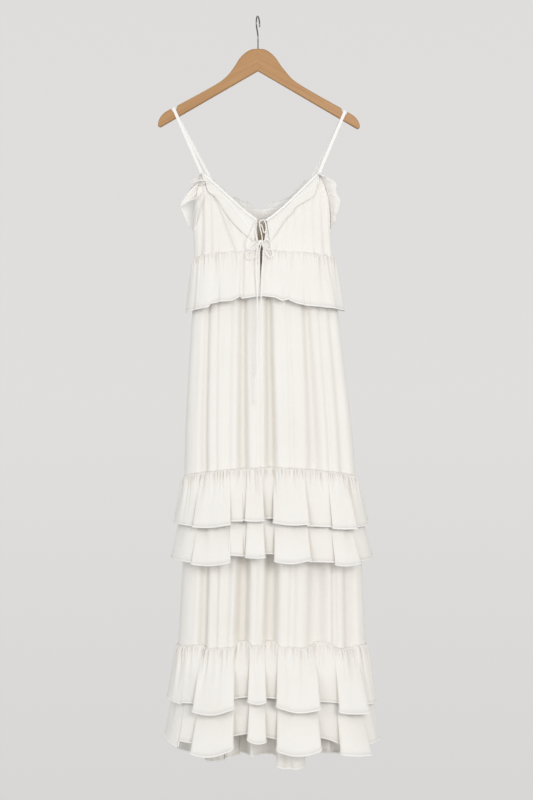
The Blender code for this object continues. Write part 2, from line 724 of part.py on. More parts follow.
STRAP_WIDE = 7.0
BINDING_TRIM = 0.5
HANGER_HALF = 6.0
NOTCH_LEFT = (-184.0, -202.4)
NOTCH_RIGHT = (190.0, -209.2)
OVER_ARM = HANGER_HALF + CLOTH / 2 + GAP
NOTCH_DROP = 0.35
OVER_ANGLES = (180, 140, 90, 40, 0)


def ribbon(name, centres, facings, wide):
    """A flat strip along centre points; facings are its outward directions."""
    centres = np.asarray(centres, dtype=float)
    facings = np.asarray(facings, dtype=float)
    ahead = np.gradient(centres, axis=0)
    ahead /= np.linalg.norm(ahead, axis=1, keepdims=True)
    facings -= ahead * (facings * ahead).sum(axis=1, keepdims=True)
    facings /= np.linalg.norm(facings, axis=1, keepdims=True)
    across = np.cross(ahead, facings)
    wide = np.asarray(wide)[:, None] / 2
    middle = np.stack([centres - across * wide, centres + across * wide], axis=1)
    normals = np.stack([facings, facings], axis=1)
    return cloth_wall(name, middle, normals)


def bound_edge(neck, columns, side):
    """Points and facings along the middle of a neck binding."""
    places = moved_in(along(neck, columns), BINDING / 2, (0, -1))
    points = bodice_point(places[:, 0], places[:, 1], side)
    return points, bodice_point(places[:, 0], places[:, 1], side, 1.0) - points


def strap_route(front, back, notch):
    """Centre points, facings and widths from the front neck edge to the back neck edge."""
    (front_points, front_facings), (back_points, back_facings) = front, back
    x, z = notch
    turn_z = z - OVER_ARM * NOTCH_DROP
    bend = []
    bend_facings = []
    for angle in np.radians(OVER_ANGLES):
        bend.append((x, OVER_ARM * math.cos(angle), turn_z + OVER_ARM * math.sin(angle)))
        bend_facings.append((0, math.cos(angle), math.sin(angle)))
    points = np.vstack([front_points, [(front_points[-1] * 2 + np.array(bend[0])) / 3], bend,
                        [(back_points[0] * 2 + np.array(bend[-1])) / 3], back_points])
    facings = np.vstack([front_facings, [(0, -1, 0)], bend_facings, [(0, 1, 0)],
                         back_facings])
    free = 2 + len(bend)
    wide = [BINDING] * len(front_points) + [STRAP_WIDE] * free + [BINDING] * len(back_points)
    return points, facings, wide


def make_straps():
    back_points, back_facings = bound_edge(NECK_BACK, BACK_NECK_COLUMNS, BACK)
    middle = BACK_NECK_COLUMNS // 2
    for label, neck, notch in (("left", NECK_LEFT, NOTCH_LEFT),
                               ("right", NECK_RIGHT, NOTCH_RIGHT)):
        points, facings = bound_edge(neck, NECK_COLUMNS, FRONT)
        if label == "left":
            back = back_points[:middle + 1].copy(), back_facings[:middle + 1]
            back[0][-1, 0] -= BINDING_TRIM
        else:
            back = back_points[middle:][::-1].copy(), back_facings[middle:][::-1]
            back[0][-1, 0] += BINDING_TRIM
        points, facings, wide = strap_route((points[::-1], facings[::-1]), back, notch)
        ribbon(f"strap_{label}", points, facings, wide)


# Hanger

HANGER_LEFT = ((0, -70), (-17, -72.5), (-37.4, -87.6), (-50.6, -107.4), (-61.6, -122.8),
               (-77, -138.2), (-101.2, -153.6), (-177, -195), (-179.5, -203.5),
               (-188.5, -208), (-191, -202), (-208, -212.5), (-217.5, -226), (-219.5, -240),
               (-214, -242.5), (0, -118.8))
HANGER_RIGHT = ((0, -70), (17, -72.5), (36.7, -87.6), (50.6, -107.4), (63.8, -123.9),
                (77, -138.2), (101.2, -154.5), (183, -201), (185.5, -210), (194.5, -215),
                (197, -209.5), (211.5, -218.5), (221.5, -231), (223.5, -243.5),
                (218.5, -246.5), (0, -118.8))
HANGER_BEVEL = 2.4


def make_hanger():
    for label, outline, outward in (("left", HANGER_LEFT, -1), ("right", HANGER_RIGHT, 1)):
        places = [(x + outward * GAP / 2 if x == 0 else x, z) for x, z in outline]
        if outward > 0:
            places = places[::-1]
        count = len(places)
        points = [(x, y, z) for y in (-HANGER_HALF, HANGER_HALF) for x, z in places]
        faces = [tuple(range(count)), tuple(range(2 * count - 1, count - 1, -1))]
        for k in range(count):
            after = (k + 1) % count
            faces.append((k, k + count, after + count, after))
        obj = add_object(f"hanger_arm_{label}", points, faces, BEECH, smooth=False)
        bevel = obj.modifiers.new("rounded edges", "BEVEL")
        bevel.width = HANGER_BEVEL * MM
        bevel.segments = 2
        bevel.limit_method = "ANGLE"
        bevel.angle_limit = math.radians(60)


HOOK_RADIUS = 17.0
WIRE = 3.2
HOOK_TURN = math.radians(78)
HOOK_SPACING = 6.5

# Columns: distance across the hook, z. The round part of the hook follows.
HOOK_STEM = ((0.0, -69.6), (0.0, -60.0), (0.0, -48.0), (-1.5, -40.0), (-6.5, -33.0))
HOOK_ANGLES = np.arange(-135, -372, -18)


SPAN_POINTS = 12


def smooth_curve(points):
    """Close points along a smooth curve through a short list of places."""
    points = np.asarray(points, dtype=float)
    steps = np.linalg.norm(np.diff(points, axis=0), axis=1) ** 0.5
    time = np.concatenate([[0], np.cumsum(steps)])
    slope = np.gradient(points, time, axis=0)
    way = np.linspace(0, 1, SPAN_POINTS, endpoint=False)[:, None]
    fine = []
    for k, step in enumerate(steps):
        fine.append((2 * way ** 3 - 3 * way ** 2 + 1) * points[k]
                    + (way ** 3 - 2 * way ** 2 + way) * step * slope[k]
                    + (3 * way ** 2 - 2 * way ** 3) * points[k + 1]
                    + (way ** 3 - way ** 2) * step * slope[k + 1])
    return np.vstack(fine + [points[-1:]])


def smooth_route(points, spacing, stub=None):
    """Spaced points along a smooth curve; a stub keeps the way that each end points."""
    fine = smooth_curve(points)
    run = np.concatenate([[0], np.cumsum(np.linalg.norm(np.diff(fine, axis=0), axis=1))])
    stub = spacing if stub is None else stub
    count = max(2, int(round((run[-1] - 2 * stub) / spacing)) + 1)
    wanted = np.concatenate([[0], np.linspace(stub, run[-1] - stub, count), [run[-1]]])
    return np.stack([np.interp(wanted, run, fine[:, k]) for k in range(3)], axis=-1)


def tube_along(name, points, diameter, material):
    """A round tube on a polyline."""
    curve = bpy.data.curves.new(name, "CURVE")
    curve.dimensions = "3D"
    curve.bevel_depth = diameter / 2 * MM
    curve.bevel_resolution = 2
    curve.use_fill_caps = True
    curve.render_resolution_u = 0
    spline = curve.splines.new("POLY")
    spline.points.add(len(points) - 1)
    for target, place in zip(spline.points, np.asarray(points) * MM):
        target.co = (*place.tolist(), 1.0)
    curve.materials.append(material)
    obj = bpy.data.objects.new(name, curve)
    bpy.context.collection.objects.link(obj)
    return obj


def make_hook():
    centre = WIRE / 2 - HOOK_RADIUS
    places = list(HOOK_STEM)
    for angle in np.radians(HOOK_ANGLES):
        places.append((HOOK_RADIUS * math.cos(angle), centre + HOOK_RADIUS * math.sin(angle)))
    route = [(h * math.cos(HOOK_TURN), h * math.sin(HOOK_TURN), z) for h, z in places]
    tube_along("hook", smooth_route(route, HOOK_SPACING), WIRE, STEEL)


# Laces and ties at the centre front
# Columns: x, distance in front of the dress's front surface, z.

CORD = 2.5
KNOT = (6.6, -499.0)
KNOT_SIZE = (6.5, 4.0, 5.0)
KNOT_OUT = 6.5
KNOT_TURNS = 12
KNOT_RINGS = 7
FRONT_AT = np.array([(-900.0, 70.0), (-622.0, 70.0), (-600.0, 64.5), (-560.0, 55.0),
                     (-530.0, 47.0), (-499.0, 35.0), (-440.0, 29.0)])

CORDS = {
    "lace_left": ((-1.5, 1.8, -449.5), (-3.6, 3.2, -462.0), (-5.2, 4.0, -476.0),
                  (-3.0, 5.0, -489.0), (0.2, 6.2, -495.6)),
    "lace_right": ((16.0, 2.0, -450.5), (11.0, 5.5, -450.0), (4.6, 7.2, -453.0),
                   (4.4, 7.4, -466.0), (7.6, 7.0, -480.0), (9.4, 6.6, -493.0)),
    "tie_long_left": ((3.0, 7.6, -503.8), (-0.6, 7.6, -512.0), (-3.4, 4.6, -530.0),
                      (-4.0, 3.0, -560.0), (-2.2, 3.0, -595.0), (-0.7, 3.0, -650.0),
                      (-1.0, 3.0, -710.0), (-2.6, 3.0, -738.0), (-1.4, 3.0, -765.0),
                      (-0.9, 3.0, -843.5)),
    "tie_long_right": ((9.2, 7.4, -504.2), (12.6, 6.4, -515.0), (10.6, 4.4, -538.0),
                       (8.2, 3.0, -570.0), (7.2, 3.0, -620.0), (7.0, 3.0, -700.0),
                       (5.4, 3.0, -740.0), (4.6, 3.0, -762.0), (2.0, 3.0, -782.0)),
    "loop_left": ((-0.4, 8.4, -501.4), (-8.0, 8.2, -511.0), (-17.0, 8.6, -515.5),
                  (-24.0, 9.4, -506.0), (-21.0, 9.8, -491.0), (-14.5, 10.0, -477.0),
                  (-8.6, 9.4, -462.0), (-5.4, 7.4, -452.6)),
    "loop_right": ((13.4, 7.0, -496.4), (19.5, 6.0, -493.0), (27.0, 4.6, -499.0),
                   (29.0, 4.6, -509.0), (23.5, 4.8, -516.0), (17.5, 6.4, -510.0),
                   (13.6, 8.2, -501.6)),
    "loop_low_right": ((9.8, 13.0, -499.5), (14.8, 9.6, -513.0), (19.4, 7.0, -526.0),
                       (26.5, 5.2, -533.0), (32.4, 5.0, -525.5), (31.0, 5.4, -514.0)),
    "loop_low_left": ((3.1, 13.0, -500.0), (-5.0, 9.4, -513.5), (-14.0, 6.6, -519.0),
                      (-24.5, 4.6, -523.0), (-25.0, 4.2, -534.0), (-16.0, 4.4, -537.5),
                      (-8.5, 5.4, -531.0)),
    "loop_top_right": ((14.6, 5.6, -452.8), (17.6, 4.6, -463.0), (17.0, 4.4, -474.0),
                       (13.4, 4.4, -478.0), (10.8, 4.6, -470.0), (11.2, 5.2, -461.0)),
    "tie_short": ((6.8, 11.5, -505.0), (4.4, 10.8, -515.0), (2.6, 10.2, -530.0),
                  (2.6, 9.4, -542.0)),
}
CORD_SPACING = {"tie_long_left": 15.0, "tie_long_right": 15.0}
LOOP_SPACING = 9.0
STUB = 2.0

# What each cord's first and last end meet: the end of a neck binding, the knot,
# the side of another cord, or nothing.
CORD_ENDS = {
    "lace_left": ("binding_left", "knot"),
    "lace_right": ("binding_right", "knot"),
    "tie_long_left": ("knot", None),
    "tie_long_right": ("knot", None),
    "loop_left": ("knot", "lace_left"),
    "loop_right": ("knot", "knot"),
    "loop_low_right": ("knot", "loop_right"),
    "loop_low_left": ("knot", "tie_long_left"),
    "loop_top_right": ("lace_right", "lace_right"),
    "tie_short": ("knot", None),
}


def cord_route(rows):
    """Places of a cord in space: each row's distance is in front of the dress."""
    return [np.array((x, -(np.interp(z, FRONT_AT[:, 0], FRONT_AT[:, 1]) + out), z))
            for x, out, z in rows]


def knot_centre():
    x, z = KNOT
    return np.array((x, -(np.interp(z, FRONT_AT[:, 0], FRONT_AT[:, 1]) + KNOT_OUT), z))


def nearest_on(route, place):
    """The nearest place on a polyline."""
    starts, steps = route[:-1], np.diff(route, axis=0)
    way = ((place - starts) * steps).sum(axis=1) / (steps ** 2).sum(axis=1)
    places = starts + steps * np.clip(way, 0, 1)[:, None]
    return places[np.argmin(np.linalg.norm(places - place, axis=1))]


def meeting(place, target, routes):
    """The face that a cord's end meets, and the way out of it."""
    if target == "knot":
        centre, size = knot_centre(), np.array(KNOT_SIZE)
        ray = place - centre
        face = centre + ray / np.linalg.norm(ray / size)
        out = (face - centre) / size ** 2
    elif target.startswith("binding"):
        neck = NECK_LEFT if target.endswith("left") else NECK_RIGHT
        points, facings = bound_edge(neck, NECK_COLUMNS, FRONT)
        out = facings[-1]
        face = points[-1] + out / np.linalg.norm(out) * CLOTH / 2
    else:
        centre = nearest_on(routes[target], place)
        out = place - centre
        face = centre + out / np.linalg.norm(out) * CORD / 2
    return face, out / np.linalg.norm(out)


def met_ends(name, places, routes):
    """A cord's places with its ends set face to face with what they meet."""
    first, last = CORD_ENDS[name]
    if first:
        face, out = meeting(places[0], first, routes)
        places = [face + out * GAP, face + out * (GAP + STUB)] + places[1:]
    if last:
        face, out = meeting(places[-1], last, routes)
        places = places[:-1] + [face + out * (GAP + STUB), face + out * GAP]
    return places


def make_knot():
    """The small knot as a closed bead."""
    x, y, z = knot_centre()
    wide, deep, high = KNOT_SIZE
    points = [(x, y, z + high)]
    for ring in range(1, KNOT_RINGS):
        tilt = math.pi * ring / KNOT_RINGS
        for k in range(KNOT_TURNS):
            angle = 2 * math.pi * k / KNOT_TURNS
            points.append((x + wide * math.sin(tilt) * math.cos(angle),
                           y + deep * math.sin(tilt) * math.sin(angle),
                           z + high * math.cos(tilt)))
    points.append((x, y, z - high))
    last = len(points) - 1
    faces = []
    for k in range(KNOT_TURNS):
        after = (k + 1) % KNOT_TURNS
        faces.append((0, 1 + k, 1 + after))
        faces.append((last, last - KNOT_TURNS + after, last - KNOT_TURNS + k))
        for ring in range(KNOT_RINGS - 2):
            start = 1 + ring * KNOT_TURNS
            below = start + KNOT_TURNS
            faces.append((start + k, below + k, below + after, start + after))
    add_object("tie_knot", points, faces, COTTON)


def make_ties():
    make_knot()
    routes = {}
    for name, rows in CORDS.items():
        places = met_ends(name, cord_route(rows), routes)
        spacing = CORD_SPACING.get(name, LOOP_SPACING)
        routes[name] = smooth_route(places, spacing, STUB)
        tube_along(name, routes[name], CORD, COTTON)


make_hanger()
make_hook()
make_straps()
make_bodice()
make_neck_frills()
make_back_frills()
make_arm_frills()
make_peplum()
for row in SKIRTS:
    make_skirt(*row)
make_ruffles()
make_ties()
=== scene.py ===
# The looks of a white tiered maxi dress hanging on its wooden hanger.
# Shapes are worked out in millimetres in the part's own frame: -Y is the front,
# +Z is up and the origin is the inner top of the hook.

import math

import bpy
import numpy as np
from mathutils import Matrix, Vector


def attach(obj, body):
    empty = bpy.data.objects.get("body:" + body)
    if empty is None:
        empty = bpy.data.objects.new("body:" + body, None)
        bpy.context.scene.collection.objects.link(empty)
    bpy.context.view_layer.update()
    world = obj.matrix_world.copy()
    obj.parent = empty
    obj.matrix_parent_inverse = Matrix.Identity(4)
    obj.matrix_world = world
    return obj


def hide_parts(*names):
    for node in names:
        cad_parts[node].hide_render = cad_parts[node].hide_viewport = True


MM = 0.001
GAP = 0.3
FRONT = -1
BACK = 1

SIDES = ((FRONT, "front"), (BACK, "back"))

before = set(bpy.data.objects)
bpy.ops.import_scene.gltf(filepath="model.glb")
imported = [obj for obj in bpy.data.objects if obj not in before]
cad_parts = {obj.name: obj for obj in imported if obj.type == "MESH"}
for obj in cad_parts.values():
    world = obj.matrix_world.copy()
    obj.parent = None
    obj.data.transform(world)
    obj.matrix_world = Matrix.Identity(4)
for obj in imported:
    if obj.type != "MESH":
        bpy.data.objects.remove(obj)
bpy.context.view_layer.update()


def add_object(name, data):
    """An object in the scene that shows the data."""
    obj = bpy.data.objects.new(name, data)
    bpy.context.scene.collection.objects.link(obj)
    return obj


# Camera

CAMERA_AT = (0.0187, -3.5, -0.8422)
VIEW_HIGH = 1.76
SENSOR = 36.0


def add_camera():
    data = bpy.data.cameras.new("camera")
    data.sensor_fit = "VERTICAL"
    data.sensor_height = SENSOR
    data.lens = SENSOR * -CAMERA_AT[1] / VIEW_HIGH
    camera = add_object("camera", data)
    camera.location = CAMERA_AT
    camera.rotation_euler = (math.radians(90), 0, 0)
    bpy.context.scene.camera = camera


add_camera()


# Materials

def new_material(name, colour, roughness, more):
    """A Principled material, its tree and its shader; more holds further sockets' values."""
    material = bpy.data.materials.new(name)
    material.use_nodes = True
    tree = material.node_tree
    shader = tree.nodes["Principled BSDF"]
    values = {"Base Color": (*colour, 1.0), "Roughness": roughness, **more}
    for key, value in values.items():
        shader.inputs[key].default_value = value
    return material, tree, shader


def add_node(tree, kind, values=None, **settings):
    """A shader node; each of its sockets takes a value or another node's output."""
    node = tree.nodes.new(kind)
    for key, value in settings.items():
        setattr(node, key, value)
    for key, value in (values or {}).items():
        if isinstance(value, bpy.types.NodeSocket):
            tree.links.new(value, node.inputs[key])
        else:
            node.inputs[key].default_value = value
    return node


def noise(tree, vector, scale, detail, **values):
    """The grey of a noise texture."""
    values = {"Vector": vector, "Scale": scale, "Detail": detail, **values}
    return add_node(tree, "ShaderNodeTexNoise", values).outputs["Fac"]


def stretched(tree, vector, scale):
    """A place scaled along each axis."""
    values = {"Vector": vector, "Scale": scale}
    return add_node(tree, "ShaderNodeMapping", values).outputs["Vector"]


def object_place(tree):
    """The place in the object's own frame."""
    return add_node(tree, "ShaderNodeTexCoord").outputs["Object"]


def calculated(tree, operation, *values):
    """The result of one operation on sockets or numbers."""
    values = dict(enumerate(values))
    return add_node(tree, "ShaderNodeMath", values, operation=operation).outputs[0]


def ranged(tree, value, **limits):
    """A value mapped from one range to another."""
    limits = {key.replace("_", " ").title(): limit for key, limit in limits.items()}
    return add_node(tree, "ShaderNodeMapRange", {"Value": value, **limits}).outputs["Result"]


def mixed(tree, first, second, factor, **settings):
    """A mix of two colours."""
    values = {"Factor": factor, "A": first, "B": second}
    return add_node(tree, "ShaderNodeMix", values, data_type="RGBA", **settings).outputs["Result"]


def colour_ramp(tree, source, stops):
    """Colours by position along a ramp, fed by a socket."""
    ramp = add_node(tree, "ShaderNodeValToRGB", {"Fac": source})
    elements = ramp.color_ramp.elements
    while len(elements) < len(stops):
        elements.new(0.5)
    for element, (place, colour) in zip(elements, stops):
        element.position = place
        element.color = (*colour, 1.0)
    return ramp.outputs["Color"]


def bump_chain(tree, shader, layers):
    """Stack bumps: each layer is a height socket, its distance in metres and its strength."""
    normal = None
    for height, distance, strength in layers:
        values = {"Height": height, "Distance": distance, "Strength": strength}
        if normal:
            values["Normal"] = normal
        normal = add_node(tree, "ShaderNodeBump", values).outputs["Normal"]
    tree.links.new(normal, shader.inputs["Normal"])


COTTON_ROUGH = 0.88
COTTON_FINISH = {"Sheen Weight": 0.12, "Sheen Roughness": 0.6, "Specular IOR Level": 0.25}
WHITE = (1.0, 1.0, 1.0)

# Millimetres from thread to thread, and the radians that the wave turns in one at scale 1.
THREAD = 0.9
WAVE_TURN = 20.0
THREAD_WAVE = {"Scale": 2 * math.pi / (WAVE_TURN * THREAD), "Distortion": 1.2,
               "Detail": 1.0, "Detail Scale": 0.6}
SLUB_STRETCH = (0.22, 0.02, 1.0)
SLUB_SHARE = 0.45
CRUMPLE_SCALE = 34.0
TONE_SCALE = 9.0

# Where on the ramp the dark tone and the light tone lie.
TONE_STOPS = (0.45, 0.85)

# Depth of each relief in metres, and how strongly the finer ones show.
CRUMPLE_DEEP = 0.004
SLUB_DEEP = 0.00012
SLUB_STRENGTH = 0.5
WEAVE_DEEP = 0.00002
WEAVE_STRENGTH = 0.4

# Painted shade: the inside darkens to its deep tint between these heights, in metres.
PAINTED_SHADE_TOP = -0.435
PAINTED_SHADE_FOOT = -0.470

# Painted shade: hollows take this tint where cloth of the same piece lies within reach, in metres.
PAINTED_SHADE_REACH = 0.040
PAINTED_SHADE_TINT = (0.775, 0.742, 0.69)
PAINTED_SHADE_OPEN = (0.3, 0.95)
PAINTED_SHADE_SAMPLES = 6


def cotton(name, light, dark, crumple, alpha=1.0, deep=None, weave_high=1.0, painted_hollow_shade=True):
    """Plain-woven cotton: threads both ways, slubs, soft crumples and an uneven tone, with painted
    shade in its hollows and, when deep is given, painted shade low down.
    """
    material, tree, shader = new_material(name, light, COTTON_ROUGH,
                                          {"Alpha": alpha, **COTTON_FINISH})
    cloth_place = add_node(tree, "ShaderNodeUVMap", uv_map="cloth").outputs["UV"]
    place = object_place(tree)
    threads = [add_node(tree, "ShaderNodeTexWave", {"Vector": cloth_place, **THREAD_WAVE},
                        wave_type="BANDS", bands_direction=direction).outputs["Fac"]
               for direction in ("X", "Y")]
    weave = calculated(tree, "ADD", *threads)
    slub = noise(tree, stretched(tree, cloth_place, SLUB_STRETCH), 1.0, 2.0)
    crumples = noise(tree, place, CRUMPLE_SCALE, 4.0, Roughness=0.55, Distortion=0.8)
    tone = noise(tree, place, TONE_SCALE, 5.0)
    tone = calculated(tree, "MULTIPLY_ADD", slub, SLUB_SHARE, tone)
    colour = colour_ramp(tree, tone, tuple(zip(TONE_STOPS, (dark, light))))
    # Painted shade: the colour goes over to the deep tint lower down the inside.
    if deep:
        parts = add_node(tree, "ShaderNodeSeparateXYZ", {0: place})
        low = ranged(tree, parts.outputs["Z"], from_min=PAINTED_SHADE_TOP, from_max=PAINTED_SHADE_FOOT)
        colour = mixed(tree, colour, (*deep, 1.0), low)
    # Painted shade: an occlusion test darkens the colour in creases, valleys and hollows.
    if painted_hollow_shade:
        occlusion = add_node(tree, "ShaderNodeAmbientOcclusion", {"Distance": PAINTED_SHADE_REACH},
                          samples=PAINTED_SHADE_SAMPLES, only_local=True)
        least, most = PAINTED_SHADE_OPEN
        open_share = ranged(tree, occlusion.outputs["AO"], from_min=least, from_max=most)
        shade = colour_ramp(tree, open_share, ((0.0, PAINTED_SHADE_TINT), (1.0, WHITE)))
        colour = mixed(tree, colour, shade, 1.0, blend_type="MULTIPLY")
    tree.links.new(colour, shader.inputs["Base Color"])
    bump_chain(tree, shader, ((crumples, CRUMPLE_DEEP, crumple),
                              (slub, SLUB_DEEP, SLUB_STRENGTH * weave_high),
                              (weave, WEAVE_DEEP, WEAVE_STRENGTH * weave_high)))
    return material


BEECH = (0.51, 0.29, 0.13)
BEECH_ROUGH = 0.42
BEECH_FINISH = {"Coat Weight": 0.25, "Coat Roughness": 0.3}
BEECH_TONES = ((0.42, (0.415, 0.205, 0.072)), (0.64, (0.475, 0.247, 0.094)),
               (0.84, (0.53, 0.288, 0.117)))
GRAIN_STRETCH = (6.0, 60.0, 210.0)
PORE_STRETCH = (40.0, 700.0, 900.0)
PORE_SHARE = 0.35
PORE_DEEP = 0.0003
PORE_STRENGTH = 0.35


def wood(name, way):
    """Oiled beech whose grain runs along the arm; way is the arm's slope in degrees."""
    material, tree, shader = new_material(name, BEECH, BEECH_ROUGH, BEECH_FINISH)
    turned = add_node(tree, "ShaderNodeMapping", {
        "Vector": object_place(tree), "Rotation": (0, math.radians(way), 0)}).outputs["Vector"]
    grain = noise(tree, stretched(tree, turned, GRAIN_STRETCH), 1.0, 5.0,
                  Roughness=0.6, Distortion=0.35)
    pores = noise(tree, stretched(tree, turned, PORE_STRETCH), 1.0, 3.0)
    tone = calculated(tree, "MULTIPLY_ADD", pores, PORE_SHARE, grain)
    tree.links.new(colour_ramp(tree, tone, BEECH_TONES), shader.inputs["Base Color"])
    bump_chain(tree, shader, ((pores, PORE_DEEP, PORE_STRENGTH),))
    return material


STEEL = (0.24, 0.235, 0.225)
STEEL_ROUGH = 0.24
STEEL_STRETCH = (900.0, 900.0, 60.0)


def steel(name):
    """Dark drawn wire, rougher and smoother in fine streaks."""
    material, tree, shader = new_material(name, STEEL, STEEL_ROUGH, {"Metallic": 1.0})
    streaks = noise(tree, stretched(tree, object_place(tree), STEEL_STRETCH), 1.0, 2.0)
    rough = ranged(tree, streaks, to_min=0.18, to_max=0.36)
    tree.links.new(rough, shader.inputs["Roughness"])
    return material


IVORY = (0.935, 0.920, 0.890)
IVORY_SHADE = (0.912, 0.894, 0.858)
COTTON = cotton("cotton_voile", IVORY, IVORY_SHADE, 0.16)
CRISP = cotton("cotton_voile_ruffle", IVORY, IVORY_SHADE, 0.42)
PLAIN = {"weave_high": 0.0, "painted_hollow_shade": False}
FRILL = cotton("cotton_voile_frill", IVORY, IVORY_SHADE, 0.22, **PLAIN)
# The back neck frills: see-through, and paler than the cloth, painted light.
SHEER_PAINTED_BRIGHT = cotton("cotton_voile_sheer_painted_bright", (0.97, 0.96, 0.94), (0.94, 0.93, 0.905), 0.25,
               alpha=0.88, **PLAIN)
# Straps, cords and the knot: a paler copy of the cloth, painted light.
BIAS_PAINTED_BRIGHT = cotton("cotton_bias_strip_painted_bright", (0.985, 0.978, 0.960), (0.975, 0.965, 0.945), 0.0, **PLAIN)
# Rolled hems: a paler copy of the cloth, a painted highlight along each hem.
HEM_PAINTED_HIGHLIGHT = cotton("cotton_rolled_hem_painted_highlight", (0.975, 0.968, 0.950), (0.96, 0.95, 0.93), 0.0, **PLAIN)
# The inside skin: a paler copy of the cloth, painted light, which takes painted shade towards the
# waist.
INSIDE_PAINTED_LIGHT_AND_SHADE = cotton("cotton_inside_painted_light_and_shade", (0.97, 0.955, 0.93), (0.93, 0.91, 0.88), 0.16,
               deep=(0.84, 0.71, 0.56), painted_hollow_shade=False)
BEECH_LEFT = wood("beech_left_arm", 29.0)
BEECH_RIGHT = wood("beech_right_arm", -29.0)
WIRE_STEEL = steel("steel_wire")


# Meshes

def unit(vectors):
    return vectors / np.maximum(np.linalg.norm(vectors, axis=-1, keepdims=True), 1e-9)


def grid_normals(middle):
    """Unit normals of a grid in space."""
    return unit(np.cross(np.gradient(middle, axis=1), np.gradient(middle, axis=0)))


def shell_faces(rows, cols):
    """Faces of a closed shell: outer grid, inner grid and the rim between them."""
    outer = np.arange(rows * cols).reshape(rows, cols)
    inner = outer + rows * cols

    def quads(a, b, c, d):
        return np.stack([a, b, c, d], axis=-1).reshape(-1, 4)

    return np.vstack([
        quads(outer[:-1, :-1], outer[:-1, 1:], outer[1:, 1:], outer[1:, :-1]),
        quads(inner[:-1, :-1], inner[1:, :-1], inner[1:, 1:], inner[:-1, 1:]),
        quads(outer[0, :-1], inner[0, :-1], inner[0, 1:], outer[0, 1:]),
        quads(outer[-1, :-1], outer[-1, 1:], inner[-1, 1:], inner[-1, :-1]),
        quads(outer[:-1, 0], outer[1:, 0], inner[1:, 0], inner[:-1, 0]),
        quads(outer[:-1, -1], inner[:-1, -1], inner[1:, -1], outer[1:, -1]),
    ])


def outward(points, faces):
    """Faces turned so that the closed mesh has a positive volume."""
    corners = (points - points.mean(axis=0))[faces]
    first = np.einsum("ij,ij->", corners[:, 0], np.cross(corners[:, 1], corners[:, 2]))
    second = np.einsum("ij,ij->", corners[:, 0], np.cross(corners[:, 2], corners[:, 3]))
    return faces if first + second > 0 else faces[:, ::-1]


def add_mesh(name, points, faces, material):
    mesh = bpy.data.meshes.new(name)
    mesh.from_pydata((points * MM).tolist(), [], faces)
    mesh.materials.append(material)
    mesh.shade_smooth()
    return add_object(name, mesh)


def write_map(obj, places):
    """Lay the cloth's own map: how far across and down each vertex lies."""
    layer = obj.data.uv_layers.new(name="cloth")
    corners = np.empty(len(obj.data.loops), dtype=np.int32)
    obj.data.loops.foreach_get("vertex_index", corners)
    layer.data.foreach_set("uv", places[corners].astype(np.float32).ravel())


def running(points):
    """Running length along a list of points."""
    return np.concatenate([[0], np.cumsum(np.linalg.norm(np.diff(points, axis=0), axis=1))])


def lengths(grid, axis):
    """Running length along each row or column of a grid."""
    steps = np.linalg.norm(np.diff(grid, axis=axis), axis=-1)
    pad = [(1, 0), (0, 0)] if axis == 0 else [(0, 0), (1, 0)]
    return np.cumsum(np.pad(steps, pad), axis=axis)


def cloth(name, middle, half, material, flat_ends=(), hem=False, inside=None):
    """A thin closed shell round a grid; half is the half thickness of each row."""
    half = np.broadcast_to(np.asarray(half, dtype=float).reshape(-1, 1), middle.shape[:2])
    offset = grid_normals(middle) * half[..., None]
    skins = [middle + offset, middle - offset]
    for column in flat_ends:
        for skin in skins:
            skin[:, column, 1] = middle[:, column, 1]
    points = np.concatenate([skin.reshape(-1, 3) for skin in skins])
    rows, cols = middle.shape[:2]
    faces = outward(points, shell_faces(rows, cols))
    obj = add_mesh(name, points, faces.tolist(), material)
    places = np.stack([lengths(middle, 1), lengths(middle, 0)], axis=-1).reshape(-1, 2)
    write_map(obj, np.vstack([places, places]))
    number = np.zeros(len(faces), dtype=np.int32)
    skin_of = faces.min(axis=1) // (rows * cols)
    # The inner skin takes the inside material, with its painted light and painted shade.
    if inside:
        obj.data.materials.append(inside)
        number[skin_of == (1 if points_inward(middle, offset) else 0)] = 1
    # The rolled hem rows take the paler hem material, a painted highlight.
    if hem:
        obj.data.materials.append(HEM_PAINTED_HIGHLIGHT)
        row_of = (faces.max(axis=1) % (rows * cols)) // cols
        number[row_of > rows - len(HEM_ROWS)] = len(obj.data.materials) - 1
    obj.data.polygons.foreach_set("material_index", number)
    return obj


def points_inward(middle, offset):
    """Whether the second skin of a shell lies on the side of the tube's axis."""
    return float((offset[..., 1] * middle[..., 1]).sum()) > 0


def settle(obj, slot, *nodes):
    """The piece rides on the one body and stands for its nodes, which are hidden."""
    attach(obj, "root")
    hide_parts(*nodes)
    return obj


def add_panel(node, middle, half, material, held, rests_on, **looks):
    """A cloth panel that stands for one node."""
    obj = cloth(f"{node}_cloth", middle, half, material, **looks)
    settle(obj, "cotton", node)


# Lines

def along(points, count):
    """Points spaced evenly along a list of places."""
    points = np.asarray(points, dtype=float)
    run = running(points)
    wanted = np.linspace(0, run[-1], count)
    return np.stack([np.interp(wanted, run, column) for column in points.T], axis=-1)


SPAN_POINTS = 12


